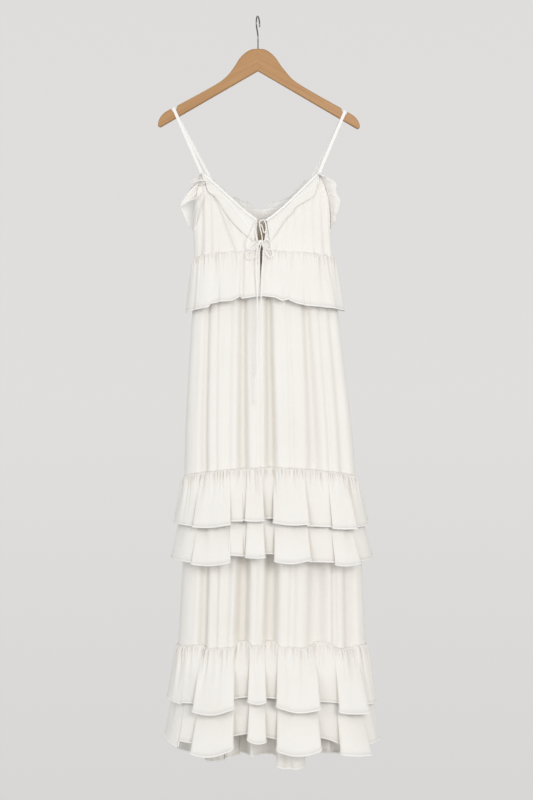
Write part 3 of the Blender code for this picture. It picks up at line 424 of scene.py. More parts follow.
def smooth_curve(points):
    """Close points along a smooth curve through a short list of places."""
    points = np.asarray(points, dtype=float)
    steps = np.linalg.norm(np.diff(points, axis=0), axis=1) ** 0.5
    time = np.concatenate([[0], np.cumsum(steps)])
    slope = np.gradient(points, time, axis=0)
    way = np.linspace(0, 1, SPAN_POINTS, endpoint=False)[:, None]
    fine = []
    for k, step in enumerate(steps):
        fine.append((2 * way ** 3 - 3 * way ** 2 + 1) * points[k]
                    + (way ** 3 - 2 * way ** 2 + way) * step * slope[k]
                    + (3 * way ** 2 - 2 * way ** 3) * points[k + 1]
                    + (way ** 3 - way ** 2) * step * slope[k + 1])
    return np.vstack(fine + [points[-1:]])


def smooth_line(places, count):
    return along(smooth_curve(places), count)


def moved_in(points, distance, toward):
    """A line of places moved sideways, to the side that toward points to."""
    tangent = np.gradient(points, axis=0)
    normal = unit(np.stack([-tangent[:, 1], tangent[:, 0]], axis=-1))
    normal *= np.where((normal @ np.array(toward))[:, None] > 0, 1, -1)
    return points + normal * distance


# Laces and ties
# Columns: x, y, z along each cord; they are the part's own routes.

CORD = 2.5
CORDS = {
    "lace_left": ((-2.7, -28.1, -450.3), (-2.7, -30.1, -450.3), (-3.6, -34.4, -462.0),
                  (-5.2, -36.7, -476.0), (-3.0, -39.0, -489.0), (-0.4, -40.5, -494.7),
                  (1.1, -40.9, -496.0)),
    "lace_right": ((18.3, -28.1, -450.4), (18.3, -30.1, -450.4), (11.0, -35.5, -450.0),
                   (4.6, -37.5, -453.0), (4.4, -39.0, -466.0), (7.6, -40.1, -480.0),
                   (9.4, -40.8, -492.1), (8.9, -41.1, -494.0)),
    "tie_long_left": ((3.8, -43.9, -502.8), (3.2, -45.2, -504.2), (-0.6, -47.6, -512.0),
                      (-3.4, -51.6, -530.0), (-4.0, -58.0, -560.0), (-2.2, -66.3, -595.0),
                      (-0.7, -73.0, -650.0), (-1.0, -73.0, -710.0), (-2.6, -73.0, -738.0),
                      (-1.4, -73.0, -765.0), (-0.9, -73.0, -843.5)),
    "tie_long_right": ((8.6, -43.9, -503.1), (9.1, -45.2, -504.6), (12.6, -47.6, -515.0),
                       (10.6, -53.5, -538.0), (8.2, -60.4, -570.0), (7.2, -72.5, -620.0),
                       (7.0, -73.0, -700.0), (5.4, -73.0, -740.0), (4.6, -73.0, -762.0),
                       (2.0, -73.0, -782.0)),
    "loop_left": ((1.3, -43.8, -500.9), (0.0, -45.1, -501.6), (-8.0, -47.8, -511.0),
                  (-17.0, -50.0, -515.5), (-24.0, -47.1, -506.0), (-21.0, -44.0, -491.0),
                  (-14.5, -42.8, -477.0), (-8.6, -40.6, -462.0), (-4.3, -35.1, -453.7),
                  (-3.6, -33.4, -454.5)),
    "loop_right": ((12.7, -41.7, -496.6), (14.3, -41.9, -495.5), (19.5, -40.4, -493.0),
                   (27.0, -39.6, -499.0), (29.0, -43.5, -509.0), (23.5, -46.4, -516.0),
                   (17.5, -45.7, -510.0), (13.2, -45.0, -501.8), (11.9, -43.7, -501.0)),
    "loop_low_right": ((8.5, -45.6, -499.3), (8.8, -47.6, -499.4), (14.8, -50.0, -513.0),
                       (19.4, -52.5, -526.0), (26.5, -53.0, -533.0), (32.4, -50.3, -525.5),
                       (29.9, -45.8, -513.4), (28.3, -45.1, -512.4)),
    "loop_low_left": ((4.6, -45.6, -499.6), (4.2, -47.5, -499.8), (-5.0, -50.0, -513.5),
                      (-14.0, -49.3, -519.0), (-24.5, -48.9, -523.0), (-25.0, -52.3, -534.0),
                      (-16.0, -53.4, -537.5), (-7.0, -52.5, -531.2), (-5.0, -52.2, -531.5)),
    "loop_top_right": ((13.8, -34.7, -451.3), (14.6, -35.9, -452.7), (17.6, -35.9, -463.0),
                       (17.0, -36.9, -474.0), (13.4, -37.3, -478.0), (10.8, -36.7, -470.0),
                       (7.5, -37.5, -461.0), (5.6, -38.1, -461.0)),
    "tie_short": ((6.7, -45.1, -501.9), (6.7, -46.9, -502.8), (4.4, -52.0, -515.0),
                  (2.6, -57.2, -530.0), (2.6, -59.6, -542.0)),
}
FAR_ENDS = {"tie_long_left": "knot", "tie_long_right": "knot", "tie_short": "knot"}
KNOT = (6.6, -41.5, -499.0)
KNOT_SIZE = (6.5, 4.0, 5.0)
TIP_HALF = 1.7
TIP_LONG = 7.0
TIP_LAP = 2.0
CORD_STEP = 1.5
CORD_SIDES = 4
RIDGE_HIGH = 0.16
RIDGE_WIDE = 0.35


def bead(name, centre, size, material):
    """A knot: a rounded body with crossing grooves, like a cord tied over itself."""
    rows, cols = 28, 40
    tilt = np.linspace(0, math.pi, rows)[:, None]
    turn = np.linspace(0, 2 * math.pi, cols, endpoint=False)[None, :]
    ridge = 1 - RIDGE_HIGH * np.exp(-(np.sin(turn * 1.5 + 2.4 * tilt) / RIDGE_WIDE) ** 2)
    ball = np.stack([np.sin(tilt) * np.cos(turn) * ridge, np.sin(tilt) * np.sin(turn) * ridge,
                     np.cos(tilt) * np.ones_like(turn)], axis=-1)
    points = (ball * np.array(size) + np.array(centre)).reshape(-1, 3)
    index = np.arange(rows * cols).reshape(rows, cols)
    after = np.roll(index, -1, axis=1)
    faces = np.stack([index[:-1], index[1:], after[1:], after[:-1]], axis=-1).reshape(-1, 4)
    obj = add_mesh(name, points, outward(points, faces).tolist(), material)
    obj.data.uv_layers.new(name="cloth")
    return obj


def add_wire(name, points, diameter, sides, material):
    """A round cord or wire along close points."""
    curve = bpy.data.curves.new(name, "CURVE")
    curve.dimensions = "3D"
    curve.bevel_depth = diameter / 2 * MM
    curve.bevel_resolution = sides
    curve.use_fill_caps = True
    spline = curve.splines.new("POLY")
    spline.points.add(len(points) - 1)
    for target, place in zip(spline.points, points * MM):
        target.co = (*place.tolist(), 1.0)
    curve.materials.append(material)
    return add_object(name, curve)


def add_cords():
    for name, places in CORDS.items():
        fine = smooth_curve(places)
        run = np.linalg.norm(np.diff(fine, axis=0), axis=1).sum()
        fine = along(fine, int(run / CORD_STEP))
        cord = add_wire(name, fine, CORD, CORD_SIDES, BIAS_PAINTED_BRIGHT)
        settle(cord, "cotton", name)
        if name in FAR_ENDS:
            end = fine[-1] - (0, 0, TIP_LONG / 2 - TIP_LAP)
            tip = bead(f"{name}_tip", end, (TIP_HALF, TIP_HALF, TIP_LONG / 2), BIAS_PAINTED_BRIGHT)
            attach(tip, "root")
    knot = bead("tie_knot_piece", KNOT, KNOT_SIZE, BIAS_PAINTED_BRIGHT)
    settle(knot, "cotton", "tie_knot")


add_cords()


# The hanging tube: outline from the front and the side

SECTION_COLUMNS = ("z", "left", "right", "front", "back")
SECTIONS = np.array([
    (-1660.0, -180.0, 242.0, 92.0, 84.0),
    (-1386.0, -176.0, 237.0, 78.0, 72.0),
    (-1203.0, -165.0, 228.0, 68.0, 63.0),
    (-1014.0, -161.5, 214.5, 60.0, 56.0),
    (-926.0, -160.0, 208.0, 55.0, 52.0),
    (-825.0, -155.0, 197.0, 50.0, 48.0),
    (-724.0, -149.0, 184.5, 46.0, 44.0),
    (-649.0, -144.0, 175.5, 42.0, 40.0),
    (-538.6, -139.5, 166.0, 35.0, 33.0),
    (-466.0, -142.0, 160.0, 28.0, 27.0),
    (-341.0, -141.0, 158.0, 20.0, 20.0),
])
ROUNDNESS = 2.4
SOFTEN = (-20.0, -10.0, 0.0, 10.0, 20.0)


def section(z):
    """Middle, half width, front depth and back depth of the tube at a height."""
    left, right, front, back = (
        sum(np.interp(z + step, SECTIONS[:, 0], SECTIONS[:, SECTION_COLUMNS.index(key)])
            for step in SOFTEN) / len(SOFTEN)
        for key in SECTION_COLUMNS[1:])
    return (left + right) / 2, (right - left) / 2, front, back


def share_of(x, z):
    """Place across the tube, from -1 at the left seam to 1 at the right seam."""
    middle, half_width, _, _ = section(z)
    return np.clip((x - middle) / half_width, -1.0, 1.0)


def tube(share, z, side, out=0.0):
    """Points of the plain tube moved out along its level normal."""
    middle, half_width, front, back = section(z)
    depth = front if side == FRONT else back
    rise = np.maximum(1 - np.abs(share) ** ROUNDNESS, 0) ** (1 / ROUNDNESS)
    normal_x = np.sign(share) * np.abs(share) ** (ROUNDNESS - 1) / half_width
    normal_y = side * rise ** (ROUNDNESS - 1) / depth
    length = np.hypot(normal_x, normal_y)
    x = middle + half_width * share + out * normal_x / length
    y = side * (GAP / 2 + depth * rise) + out * normal_y / length
    return np.stack([x, y, z + 0 * x], axis=-1)


def share_at(turn):
    """Turn the seam-to-seam run, -1 to 1, into a share of the half width."""
    return np.sin(turn * math.pi / 2)


def turn_at(share):
    return np.arcsin(np.clip(share, -1, 1)) * 2 / math.pi


def seam_fade(turn, power=8):
    """One over most of a panel, nought at its side seams."""
    return 1 - np.abs(turn) ** power


# Long folds of the skirt, as soft troughs
# Columns: share of the half width at the waist and at the hem, half width of
# the trough at the waist and at the hem in shares, depth at the waist and hem.

FRONT_FOLDS = (
    (-0.80, -0.74, 0.040, 0.050, 6.0, 8.0),
    (-0.66, -0.60, 0.022, 0.030, 2.0, 2.5),
    (-0.47, -0.50, 0.035, 0.045, 2.0, 2.5),
    (-0.30, -0.325, 0.050, 0.070, 10.0, 12.0),
    (-0.10, -0.14, 0.030, 0.035, 2.0, 3.0),
    (0.06, -0.03, 0.042, 0.080, 10.0, 14.0),
    (0.33, 0.20, 0.030, 0.040, 2.0, 3.0),
    (0.58, 0.465, 0.045, 0.105, 8.0, 12.0),
    (0.76, 0.66, 0.028, 0.035, 2.5, 3.5),
    (0.90, 0.83, 0.040, 0.060, 3.0, 7.0),
)
BACK_FOLDS = (
    (-0.86, -0.80, 0.040, 0.055, 3.0, 7.0),
    (-0.63, -0.60, 0.035, 0.060, 4.0, 10.0),
    (-0.42, -0.38, 0.028, 0.040, 2.0, 4.0),
    (-0.20, -0.22, 0.045, 0.070, 4.5, 11.0),
    (0.02, 0.04, 0.030, 0.040, 2.0, 3.5),
    (0.24, 0.27, 0.045, 0.065, 5.0, 12.0),
    (0.45, 0.49, 0.028, 0.040, 2.0, 4.0),
    (0.68, 0.66, 0.040, 0.060, 4.0, 9.0),
    (0.87, 0.84, 0.035, 0.050, 3.0, 6.0),
)
FOLD_TOP = -530.0
FOLD_FOOT = -1386.0
FOLD_REACH = 1.3
DEEPER = 0.85


def skirt_fold(share, turn, z, side):
    """How far the skirt's wall lies inside the plain tube, nought or less."""
    way = np.clip((FOLD_TOP - z) / (FOLD_TOP - FOLD_FOOT), 0, FOLD_REACH)
    depth = 0.0
    for top, foot, wide_top, wide_foot, deep_top, deep_foot in (
            FRONT_FOLDS if side == FRONT else BACK_FOLDS):
        centre = top + (foot - top) * way
        width = wide_top + (wide_foot - wide_top) * way
        deep = deep_top + (deep_foot - deep_top) * way
        across = (share - centre) / width
        depth = depth + deep * np.exp(-np.abs(across) ** (2 + way))
    return -depth * (1 + DEEPER * way) * seam_fade(turn)


# Seams and hems: heights across the panel

WAIST_CENTRE = -516.4
WAIST_DROP = 22.2
WAIST_SLOPE = 0.3
WAIST_POWERS = (0.7, 3)


def waist_seam(turn):
    """The waist seam arches up from the side seams to the centre."""
    run = np.abs(turn)
    slope, bow = (run ** power for power in WAIST_POWERS)
    return WAIST_CENTRE - WAIST_DROP * (WAIST_SLOPE * slope + (1 - WAIST_SLOPE) * bow)


def arch(centre, drop, power):
    """A level that falls from the centre of the panel to its sides."""
    return lambda turn: centre - drop * np.abs(turn) ** power


# Ruffle lobes: a ruffle hangs in lobes that stand forward by their level
# Columns: share of the half width where the lobe starts, level.

TIER_1_FRONT = (
    (-1.0, 0.75), (-0.80, 1.0), (-0.446, 0.5), (-0.317, 0.3), (-0.266, 0.75),
    (-0.087, 0.0), (0.036, 1.0), (0.394, 0.45), (0.652, 1.0), (0.865, 0.45))
TIER_1_BACK = (
    (-1.0, 0.5), (-0.84, 1.0), (-0.55, 0.35), (-0.42, 1.0), (-0.12, 0.0),
    (-0.04, 0.8), (0.26, 0.3), (0.36, 1.0), (0.66, 0.2), (0.76, 0.9))
TIER_2_FRONT = (
    (-1.0, 0.5), (-0.863, 0.35), (-0.731, 1.0), (-0.380, 0.0), (-0.229, 0.75),
    (-0.071, 0.15), (0.055, 1.0), (0.451, 0.05), (0.644, 1.0), (0.874, 0.4))
TIER_2_BACK = (
    (-1.0, 0.5), (-0.87, 1.0), (-0.60, 0.2), (-0.47, 0.95), (-0.20, 0.35),
    (-0.09, 1.0), (0.22, 0.0), (0.31, 0.85), (0.58, 0.3), (0.70, 1.0),
    (0.88, 0.5))

# Hem of each front ruffle: a few heights across each of its lobes, left to right.
TIER_1_UPPER_HEM = (
    (-1110, -1115), (-1116, -1116, -1109), (-1103.5, -1102.5), (-1100, -1100),
    (-1101, -1103, -1101), (-1097, -1097), (-1105, -1110.5, -1108), (-1113, -1116),
    (-1118, -1120.5, -1120), (-1118.5, -1116))
TIER_1_LOWER_HEM = (
    (-1187, -1193), (-1195, -1197.5, -1189.5), (-1174.5, -1177.5), (-1176, -1176),
    (-1179, -1181, -1179.5), (-1172.5, -1173), (-1187, -1192, -1183.5), (-1189, -1191.5),
    (-1195.5, -1199, -1194), (-1192, -1187.5))
TIER_2_UPPER_HEM = (
    (-1489, -1498.5), (-1495, -1492), (-1507, -1512, -1497), (-1482, -1476),
    (-1483.5, -1489.5, -1484), (-1477, -1480), (-1492, -1505.5, -1498.5), (-1487, -1492),
    (-1508.5, -1513, -1514.5), (-1498.5, -1502))
TIER_2_LOWER_HEM = (
    (-1569, -1584, -1588.5), (-1575, -1577.5), (-1594, -1600, -1595, -1581.5), (-1560, -1552),
    (-1562.5, -1571, -1566.5), (-1557.5, -1566), (-1584, -1595, -1584), (-1563, -1568, -1581.5),
    (-1597, -1601, -1604), (-1584.5, -1582.5))

# Steps between lobes, in shares of the half width, and the tuck at a step in millimetres.
EDGE = 0.006
SOFT_EDGE = 0.012
CROWN = 0.07
CROWN_SHARE = 0.3
SIDE_FADE = 5
TUCK = 5.5
TUCK_REACH = 0.055
FULL_TUCK = 0.35


def lobe_hem(share, lobes, heights):
    """Height of a hem: a smooth curve through each lobe's heights, with a step between."""
    starts = [start for start, _ in lobes] + [1.0]
    value = 0 * share
    for k, own in enumerate(heights):
        run = np.clip((share - starts[k]) / (starts[k + 1] - starts[k]), 0, 1)
        own = np.polyval(np.polyfit(np.linspace(0, 1, len(own)), own, len(own) - 1), run)
        value = own if k == 0 else value + (own - value) * (
            1 + np.tanh((share - starts[k]) / EDGE)) / 2
    return value


def lobe_level(share, lobes, edge=SOFT_EDGE, crown=CROWN_SHARE):
    """Level of the ruffle, 0 in its deepest valley and 1 on its foremost lobes."""
    level = lobes[0][1] + 0 * share
    for (_, before), (start, after) in zip(lobes, lobes[1:]):
        sharp = (1 + np.tanh((share - start) / edge)) / 2
        round_ = (1 + np.tanh((share - start) / CROWN)) / 2
        level = level + (after - before) * ((1 - crown) * sharp + crown * round_)
    return np.clip(level, 0, 1)


def lobe_tuck(share, lobes):
    """How far the sides of neighbouring lobes fold over each other, sideways."""
    shift = 0 * share
    for (_, before), (start, after) in zip(lobes, lobes[1:]):
        change = min(abs(after - before) / FULL_TUCK, 1)
        away = share - start
        shift = shift - change * np.tanh(away / EDGE) * np.exp(-(away / TUCK_REACH) ** 2)
    return shift


# Gathers: how far each strays from an even place, then the least and the most of
# its width, depth and reach as shares, its lean, and how much longer some run.
STRAY = 0.4
WIDTH_SHARES = (0.13, 0.24)
DEEP_SHARES = (0.5, 1.1)
REACH_SHARES = (0.55, 1.5)
LEAN = 0.00025
LONG_SHARE = 0.25
LONG_REACH = 3.0
LONG_WIDTH = 1.5
PUFF_REACH = 1.6

# Millimetres below the seam: the rounded head, and where a gather is twice as wide.
HEAD = 2.2
TWICE_AS_WIDE = 40.0
FADE_OUT = 1.2


class Gathers:
    """Small uneven gathers: rounded heads at a seam, with narrow valleys that run down."""

    def __init__(self, seed, count, deep, reach, long_share=LONG_SHARE):
        chance = np.random.default_rng(seed)
        spacing = 2.0 / count
        self.puff = deep
        self.reach_all = PUFF_REACH * reach
        stray = chance.uniform(-STRAY, STRAY, count)
        self.centre = -1 + spacing * (np.arange(count) + 0.5 + stray)
        self.width = spacing * chance.uniform(*WIDTH_SHARES, count)
        self.deep = deep * chance.uniform(*DEEP_SHARES, count)
        self.reach = reach * chance.uniform(*REACH_SHARES, count)
        self.slope = chance.uniform(-LEAN, LEAN, count)
        running_on = chance.uniform(0, 1, count) < long_share
        self.reach[running_on] *= LONG_REACH
        self.width[running_on] *= LONG_WIDTH

    def height(self, turn, down):
        """How far the cloth stands out at a turn, so far down from the seam."""
        total = self.puff * np.exp(-(down / self.reach_all) ** FADE_OUT) + 0 * turn
        for centre, width, deep, reach, slope in zip(self.centre, self.width, self.deep,
                                                     self.reach, self.slope):
            wide = width * (1 + down / TWICE_AS_WIDE)
            total = total - deep * np.exp(-((turn - centre - slope * down) / wide) ** 2
                                          - (down / reach) ** FADE_OUT)
        return total * (1 - np.exp(-down / HEAD))


# Each ruffle: its top across the panel, its hem on the back, how far the back's
# hem and the top drop on a lobe that stands forward, flare at the hem, depth of the
# lobes at the hem, power of the flare, lobes of the front and the back, heights of
# the front's hem, gathers in a panel and seed.

RUFFLES = {
    "tier1_upper": dict(
        top=arch(-989.5, 23.5, 1.3), hem=arch(-1097.0, 7.0, 2), drop=14.0, top_drop=0.0,
        flare=17.5, deep=22.0, power=0.75, lobes=(TIER_1_FRONT, TIER_1_BACK),
        hem_heights=TIER_1_UPPER_HEM, count=76, seed=11),
    "tier1_lower": dict(
        top=arch(-1060.0, 20.0, 1.5), hem=arch(-1175.0, 4.0, 2), drop=16.0, top_drop=14.0,
        flare=21.0, deep=24.0, power=0.8, lobes=(TIER_1_FRONT, TIER_1_BACK),
        hem_heights=TIER_1_LOWER_HEM, count=30, seed=12),
    "tier2_upper": dict(
        top=arch(-1362.0, 16.0, 1.5), hem=arch(-1481.0, 18.0, 2), drop=27.0, top_drop=13.0,
        flare=17.5, deep=34.0, power=0.75, lobes=(TIER_2_FRONT, TIER_2_BACK),
        hem_heights=TIER_2_UPPER_HEM, count=80, seed=13),
    "tier2_lower": dict(
        top=arch(-1440.0, 16.0, 1.5), hem=arch(-1559.0, 28.0, 2), drop=34.0, top_drop=20.0,
        flare=21.5, deep=36.0, power=0.8, lobes=(TIER_2_FRONT, TIER_2_BACK),
        hem_heights=TIER_2_LOWER_HEM, count=30, seed=14),
}

# Millimetres out from the skirt and up over the seam where a ruffle is sewn on.
SEWN_ON = 0.9
OVER_SEAM = 1.2
SEAM_FLAT = 12
DROP_CROWN = 0.12
EVEN_SHARE = 0.5
FINE_TURNS = 3001
GATHER_DEEP = 6.5
GATHER_REACH = 20.0

# Soft folds that run all the way down a ruffle: count, depth, reach.
SOFT_FOLDS = (18, 2.4, 300.0)
BACK_SEED = 50
FOLD_SEED = 25

# Half thickness of the cloth and of its rolled hem, and the hem's length, in millimetres.
THIN = 0.28
HEM_ROLL = 1.4
HEM_LONG = 3.0
HEM_LEAST = 0.1

# Millimetres between rows, columns across, and the close rows at a seam and at a hem.
RUFFLE_GAP = 9.0
RUFFLE_COLUMNS = {FRONT: 480, BACK: 300}
SEAM_ROWS = np.array([0.0, 0.7, 1.6, 2.8, 4.2, 6.0, 8.0, 10.5, 13.5, 17.0, 21.0, 26.0])
HEM_ROWS = np.array([0.0, 0.2, 0.6, 1.2, 1.9, 2.5, 2.85, 3.0])


def hem_rows(long, gap, seam=True, hem=True):
    """Shares down a panel and half thicknesses: close rows at the seam and the rolled hem."""
    start = SEAM_ROWS[-1] if seam else 0.0
    stop = long - HEM_LONG if hem else long
    middle = np.linspace(start, stop, max(3, int((stop - start) / gap)) + 1)
    rows = np.concatenate([SEAM_ROWS[:-1] if seam else [], middle[:-1] if hem else middle,
                           long - HEM_LONG + HEM_ROWS if hem else []])
    half = np.full(len(rows), THIN)
    if hem:
        from_roll = (rows - (long - HEM_LONG)) / HEM_LONG
        rolled = from_roll >= 0
        half[rolled] = np.maximum(
            HEM_ROLL * np.sqrt(np.maximum(1 - (2 * from_roll[rolled] - 1) ** 2, 0)), HEM_LEAST)
        half[rolled & (from_roll == 0)] = THIN
    return rows / long, half


def ruffle_turns(ruffle, side, count):
    """Turns spaced by the length of the ruffle's hem."""
    fine = np.linspace(-1, 1, FINE_TURNS)
    hem = ruffle_surface(ruffle, side, fine, np.array([1.0]), ())[0]
    run = running(hem)
    run = run + np.linspace(0, EVEN_SHARE * run[-1], len(run))
    return np.interp(np.linspace(0, run[-1], count + 1), run, fine)


def ruffle_surface(ruffle, side, turns, steps, small):
    """Middle points of one ruffle panel, from its seam down to its hem."""
    lobes = ruffle["lobes"][0 if side == FRONT else 1]
    turn = turns[None, :]
    step = steps[:, None]
    share = share_at(turn)
    fade = seam_fade(turn, SIDE_FADE)
    level = lobe_level(share, lobes) * fade
    top = ruffle["top"](turn) + OVER_SEAM - ruffle["top_drop"] * level
    if side == FRONT:
        hem = lobe_hem(share, lobes, ruffle["hem_heights"])
    else:
        hem = ruffle["hem"](turn) - ruffle["drop"] * lobe_level(
            share, lobes, EDGE, DROP_CROWN) * fade
    z = top + (hem - top) * step
    inherited = skirt_fold(share, turn, z, side) * np.maximum(0.0, 1 - 2 * step)
    down = (top - hem) * step
    out = (SEWN_ON + inherited + ruffle["flare"] * step ** ruffle["power"]
           + ruffle["deep"] * level * step)
    for gathers in small:
        out = out + gathers.height(turn + 0 * step, down) * seam_fade(turn, SEAM_FLAT)
    points = tube(share + 0 * step, z, side, out)
    points[..., 0] += TUCK * lobe_tuck(share, lobes) * step * fade
    return points


def add_ruffles():
    for name, ruffle in RUFFLES.items():
        for side, label in SIDES:
            seed = ruffle["seed"] + BACK_SEED * (side + 1)
            small = (Gathers(seed, ruffle["count"], GATHER_DEEP, GATHER_REACH),
                     Gathers(seed + FOLD_SEED, *SOFT_FOLDS))
            turns = ruffle_turns(ruffle, side, RUFFLE_COLUMNS[side])
            long = float(ruffle["top"](0.0) - ruffle["hem"](0.0))
            steps, half = hem_rows(long, RUFFLE_GAP)
            middle = ruffle_surface(ruffle, side, turns, steps, small)
            held = f"skirt_mid_{label}" if name.startswith("tier1") else f"skirt_hem_{label}"
            add_panel(f"{name}_{label}", middle, half, CRISP, "gathered", [held],
                      flat_ends=(0, -1), hem=True)


# Skirt panels between the ruffles

TIER_1_SEAM = RUFFLES["tier1_upper"]["top"]
TIER_2_SEAM = arch(-1368.0, 20.0, 1.5)
UNDER_HEM = -1604.0
SLIT_CENTRE = 7.0
SLIT_HALF = 3.2
SLIT_FOOT = -606.0
SKIRT_COLUMNS = 220
SKIRT_GAP = 10.0
TONGUE_CROWN = 0.5

# Places where the skirt's own hem hangs lower, as lobes
# Columns: share of the half width where the lobe starts, level.

TONGUES_FRONT = (
    (-1.0, 0.0), (-0.71, 0.57), (-0.485, 0.23), (-0.35, 0.0), (-0.225, 0.13), (-0.02, 0.0),
    (0.05, 1.0), (0.335, 0.23), (0.475, 0.0))
TONGUES_BACK = (
    (-1.0, 0.0), (-0.66, 0.5), (-0.40, 0.0), (-0.22, 0.4), (0.02, 0.15), (0.20, 0.0),
    (0.34, 0.8), (0.60, 0.2), (0.72, 0.0))
TONGUE_DROP = 30.0
TONGUE_OUT = 9.0
TONGUE_TUCK = 4.0

# Thin long creases of the skirt
# Columns: share of the half width, top, foot, half width in mm, depth in mm.

THIN_CREASES = (
    (-0.90, -640, -900, 6.0, -0.9), (-0.58, -640, -820, 6.0, -0.8), (-0.38, -700, -1010, 5.0, 0.7),
    (-0.19, -640, -900, 6.0, -0.9), (0.16, -640, -900, 6.0, -0.8), (0.24, -690, -1000, 5.0, 0.7),
    (0.42, -640, -860, 6.0, -0.8), (0.70, -640, -860, 6.0, -0.6),
    (-0.85, -1180, -1400, 6.0, -0.8), (-0.42, -1190, -1400, 5.0, 0.8),
    (0.30, -1190, -1400, 5.0, 0.8), (0.72, -1190, -1400, 5.0, 0.7))
CREASE_POWER = 1.5


def under_hem(turn, side):
    """The skirt's own hem, which shows below the last ruffle in places."""
    tongues = TONGUES_FRONT if side == FRONT else TONGUES_BACK
    return UNDER_HEM - TONGUE_DROP * lobe_level(share_at(turn), tongues, EDGE, TONGUE_CROWN)


def skirt_surface(turns, top, foot, side, steps, tongues):
    """Middle points of one skirt panel, with its own tongues at the hem or without."""
    turn = turns[None, :]
    step = steps[:, None]
    share = share_at(turn) + 0 * step
    z = top + (foot - top) * step
    out = skirt_fold(share, turn, z, side)
    _, half_width, _, _ = section(z)
    for centre, high, low, wide, deep in THIN_CREASES:
        across = (share + side * centre) * half_width / wide
        way = np.clip((high - z) / (high - low), 0, 1)
        out = out + deep * np.exp(-across ** 2) * np.sin(math.pi * way) ** CREASE_POWER
    if not tongues:
        return tube(share, z, side, out)
    lobes = TONGUES_FRONT if side == FRONT else TONGUES_BACK
    fade = seam_fade(turn, SIDE_FADE) * step ** 2
    points = tube(share, z, side, out + TONGUE_OUT * lobe_level(share, lobes) * fade)
    points[..., 0] += TONGUE_TUCK * lobe_tuck(share, lobes) * fade
    return points


# Skirt panels
# Columns: name, top line, foot line, lap behind the ruffle at the top and the
# foot, front slit, rolled hem, what it hangs from.

SKIRTS = (
    ("skirt_upper", waist_seam, TIER_1_SEAM, 3.3, 4.0, True, False, "bodice"),
    ("skirt_mid", TIER_1_SEAM, TIER_2_SEAM, 4.3, 15.0, False, False, "skirt_upper"),
    ("skirt_hem", TIER_2_SEAM, under_hem, 15.3, 0.0, False, True, "skirt_mid"),
)


def cut_slit(turns, top):
    """The top line of the front skirt, lower where its slit opens."""
    middle, half_width, _, _ = section(waist_seam(0.0))
    x = middle + half_width * share_at(turns)
    opening = np.clip(1 - np.abs(x - SLIT_CENTRE) / SLIT_HALF, 0, 1)
    return top + (SLIT_FOOT - top) * (opening > 0) * opening ** 0.5


def add_skirts():
    even = np.linspace(-1, 1, SKIRT_COLUMNS + 1)
    turns = 0.5 * turn_at(even) + 0.5 * even
    for name, top_line, foot_line, top_lap, foot_lap, slit, hem, above in SKIRTS:
        for side, label in SIDES:
            top = top_line(turns) - top_lap
            foot = foot_line(turns, side) if hem else foot_line(turns) - foot_lap
            steps, half = hem_rows(float(top[0] - foot[0]), SKIRT_GAP, seam=False, hem=hem)
            if slit and side == FRONT:
                top = cut_slit(turns, top)
            hangs = [f"{above}_{label}"]
            if hangs == ["bodice_front"]:
                hangs = ["bodice_front_left", "bodice_front_right"]
            add_panel(f"{name}_{label}", skirt_surface(turns, top, foot, side, steps, hem),
                      half, COTTON, "hung", hangs, flat_ends=(0, -1), hem=hem,
                      inside=INSIDE_PAINTED_LIGHT_AND_SHADE if above == "bodice" else None)


# Peplum, the short ruffle below the waist
# Columns: share of the half width, height of the hem.

PEPLUM_HEM = np.array([
    (-1.00, -650.0), (-0.88, -646.0), (-0.74, -641.0), (-0.70, -634.0), (-0.60, -630.0),
    (-0.42, -628.0), (-0.32, -618.0), (-0.29, -624.0), (-0.08, -619.0), (0.02, -618.0),
    (0.16, -621.0), (0.25, -629.0), (0.32, -625.0), (0.43, -634.0), (0.54, -638.0),
    (0.86, -643.0), (1.00, -647.0)])
PEPLUM_LOBES = (
    (-1.0, 0.55), (-0.90, 0.9), (-0.72, 0.45), (-0.60, 0.95), (-0.33, 0.35), (-0.27, 0.8),
    (0.26, 0.35), (0.34, 0.85), (0.52, 0.5), (0.60, 1.0), (0.90, 0.6))
PEPLUM_BACK_LOBES = (
    (-1.0, 0.6), (-0.82, 1.0), (-0.52, 0.4), (-0.40, 0.9), (-0.08, 0.3), (0.02, 1.0),
    (0.36, 0.4), (0.46, 0.95), (0.80, 0.5))
PEPLUM_FLARE = 13.0
PEPLUM_DEEP = 13.0
PEPLUM_BACK_HEM = arch(-624.0, 24.0, 1.6)
PEPLUM_BACK_DROP = 8.0
PEPLUM_SLIT_TOP = 2.6
PEPLUM_SLIT_FOOT = 0.9
PEPLUM_COLUMNS = 250
PEPLUM_BACK_COLUMNS = 320
PEPLUM_TUCK = 1.2
PEPLUM_EDGE = 0.03
PEPLUM_LONG = 105.0
PEPLUM_GATHERS = (62, 4.5, 16.0)
PEPLUM_POWER = 0.5
SLIT_BLEND = 4


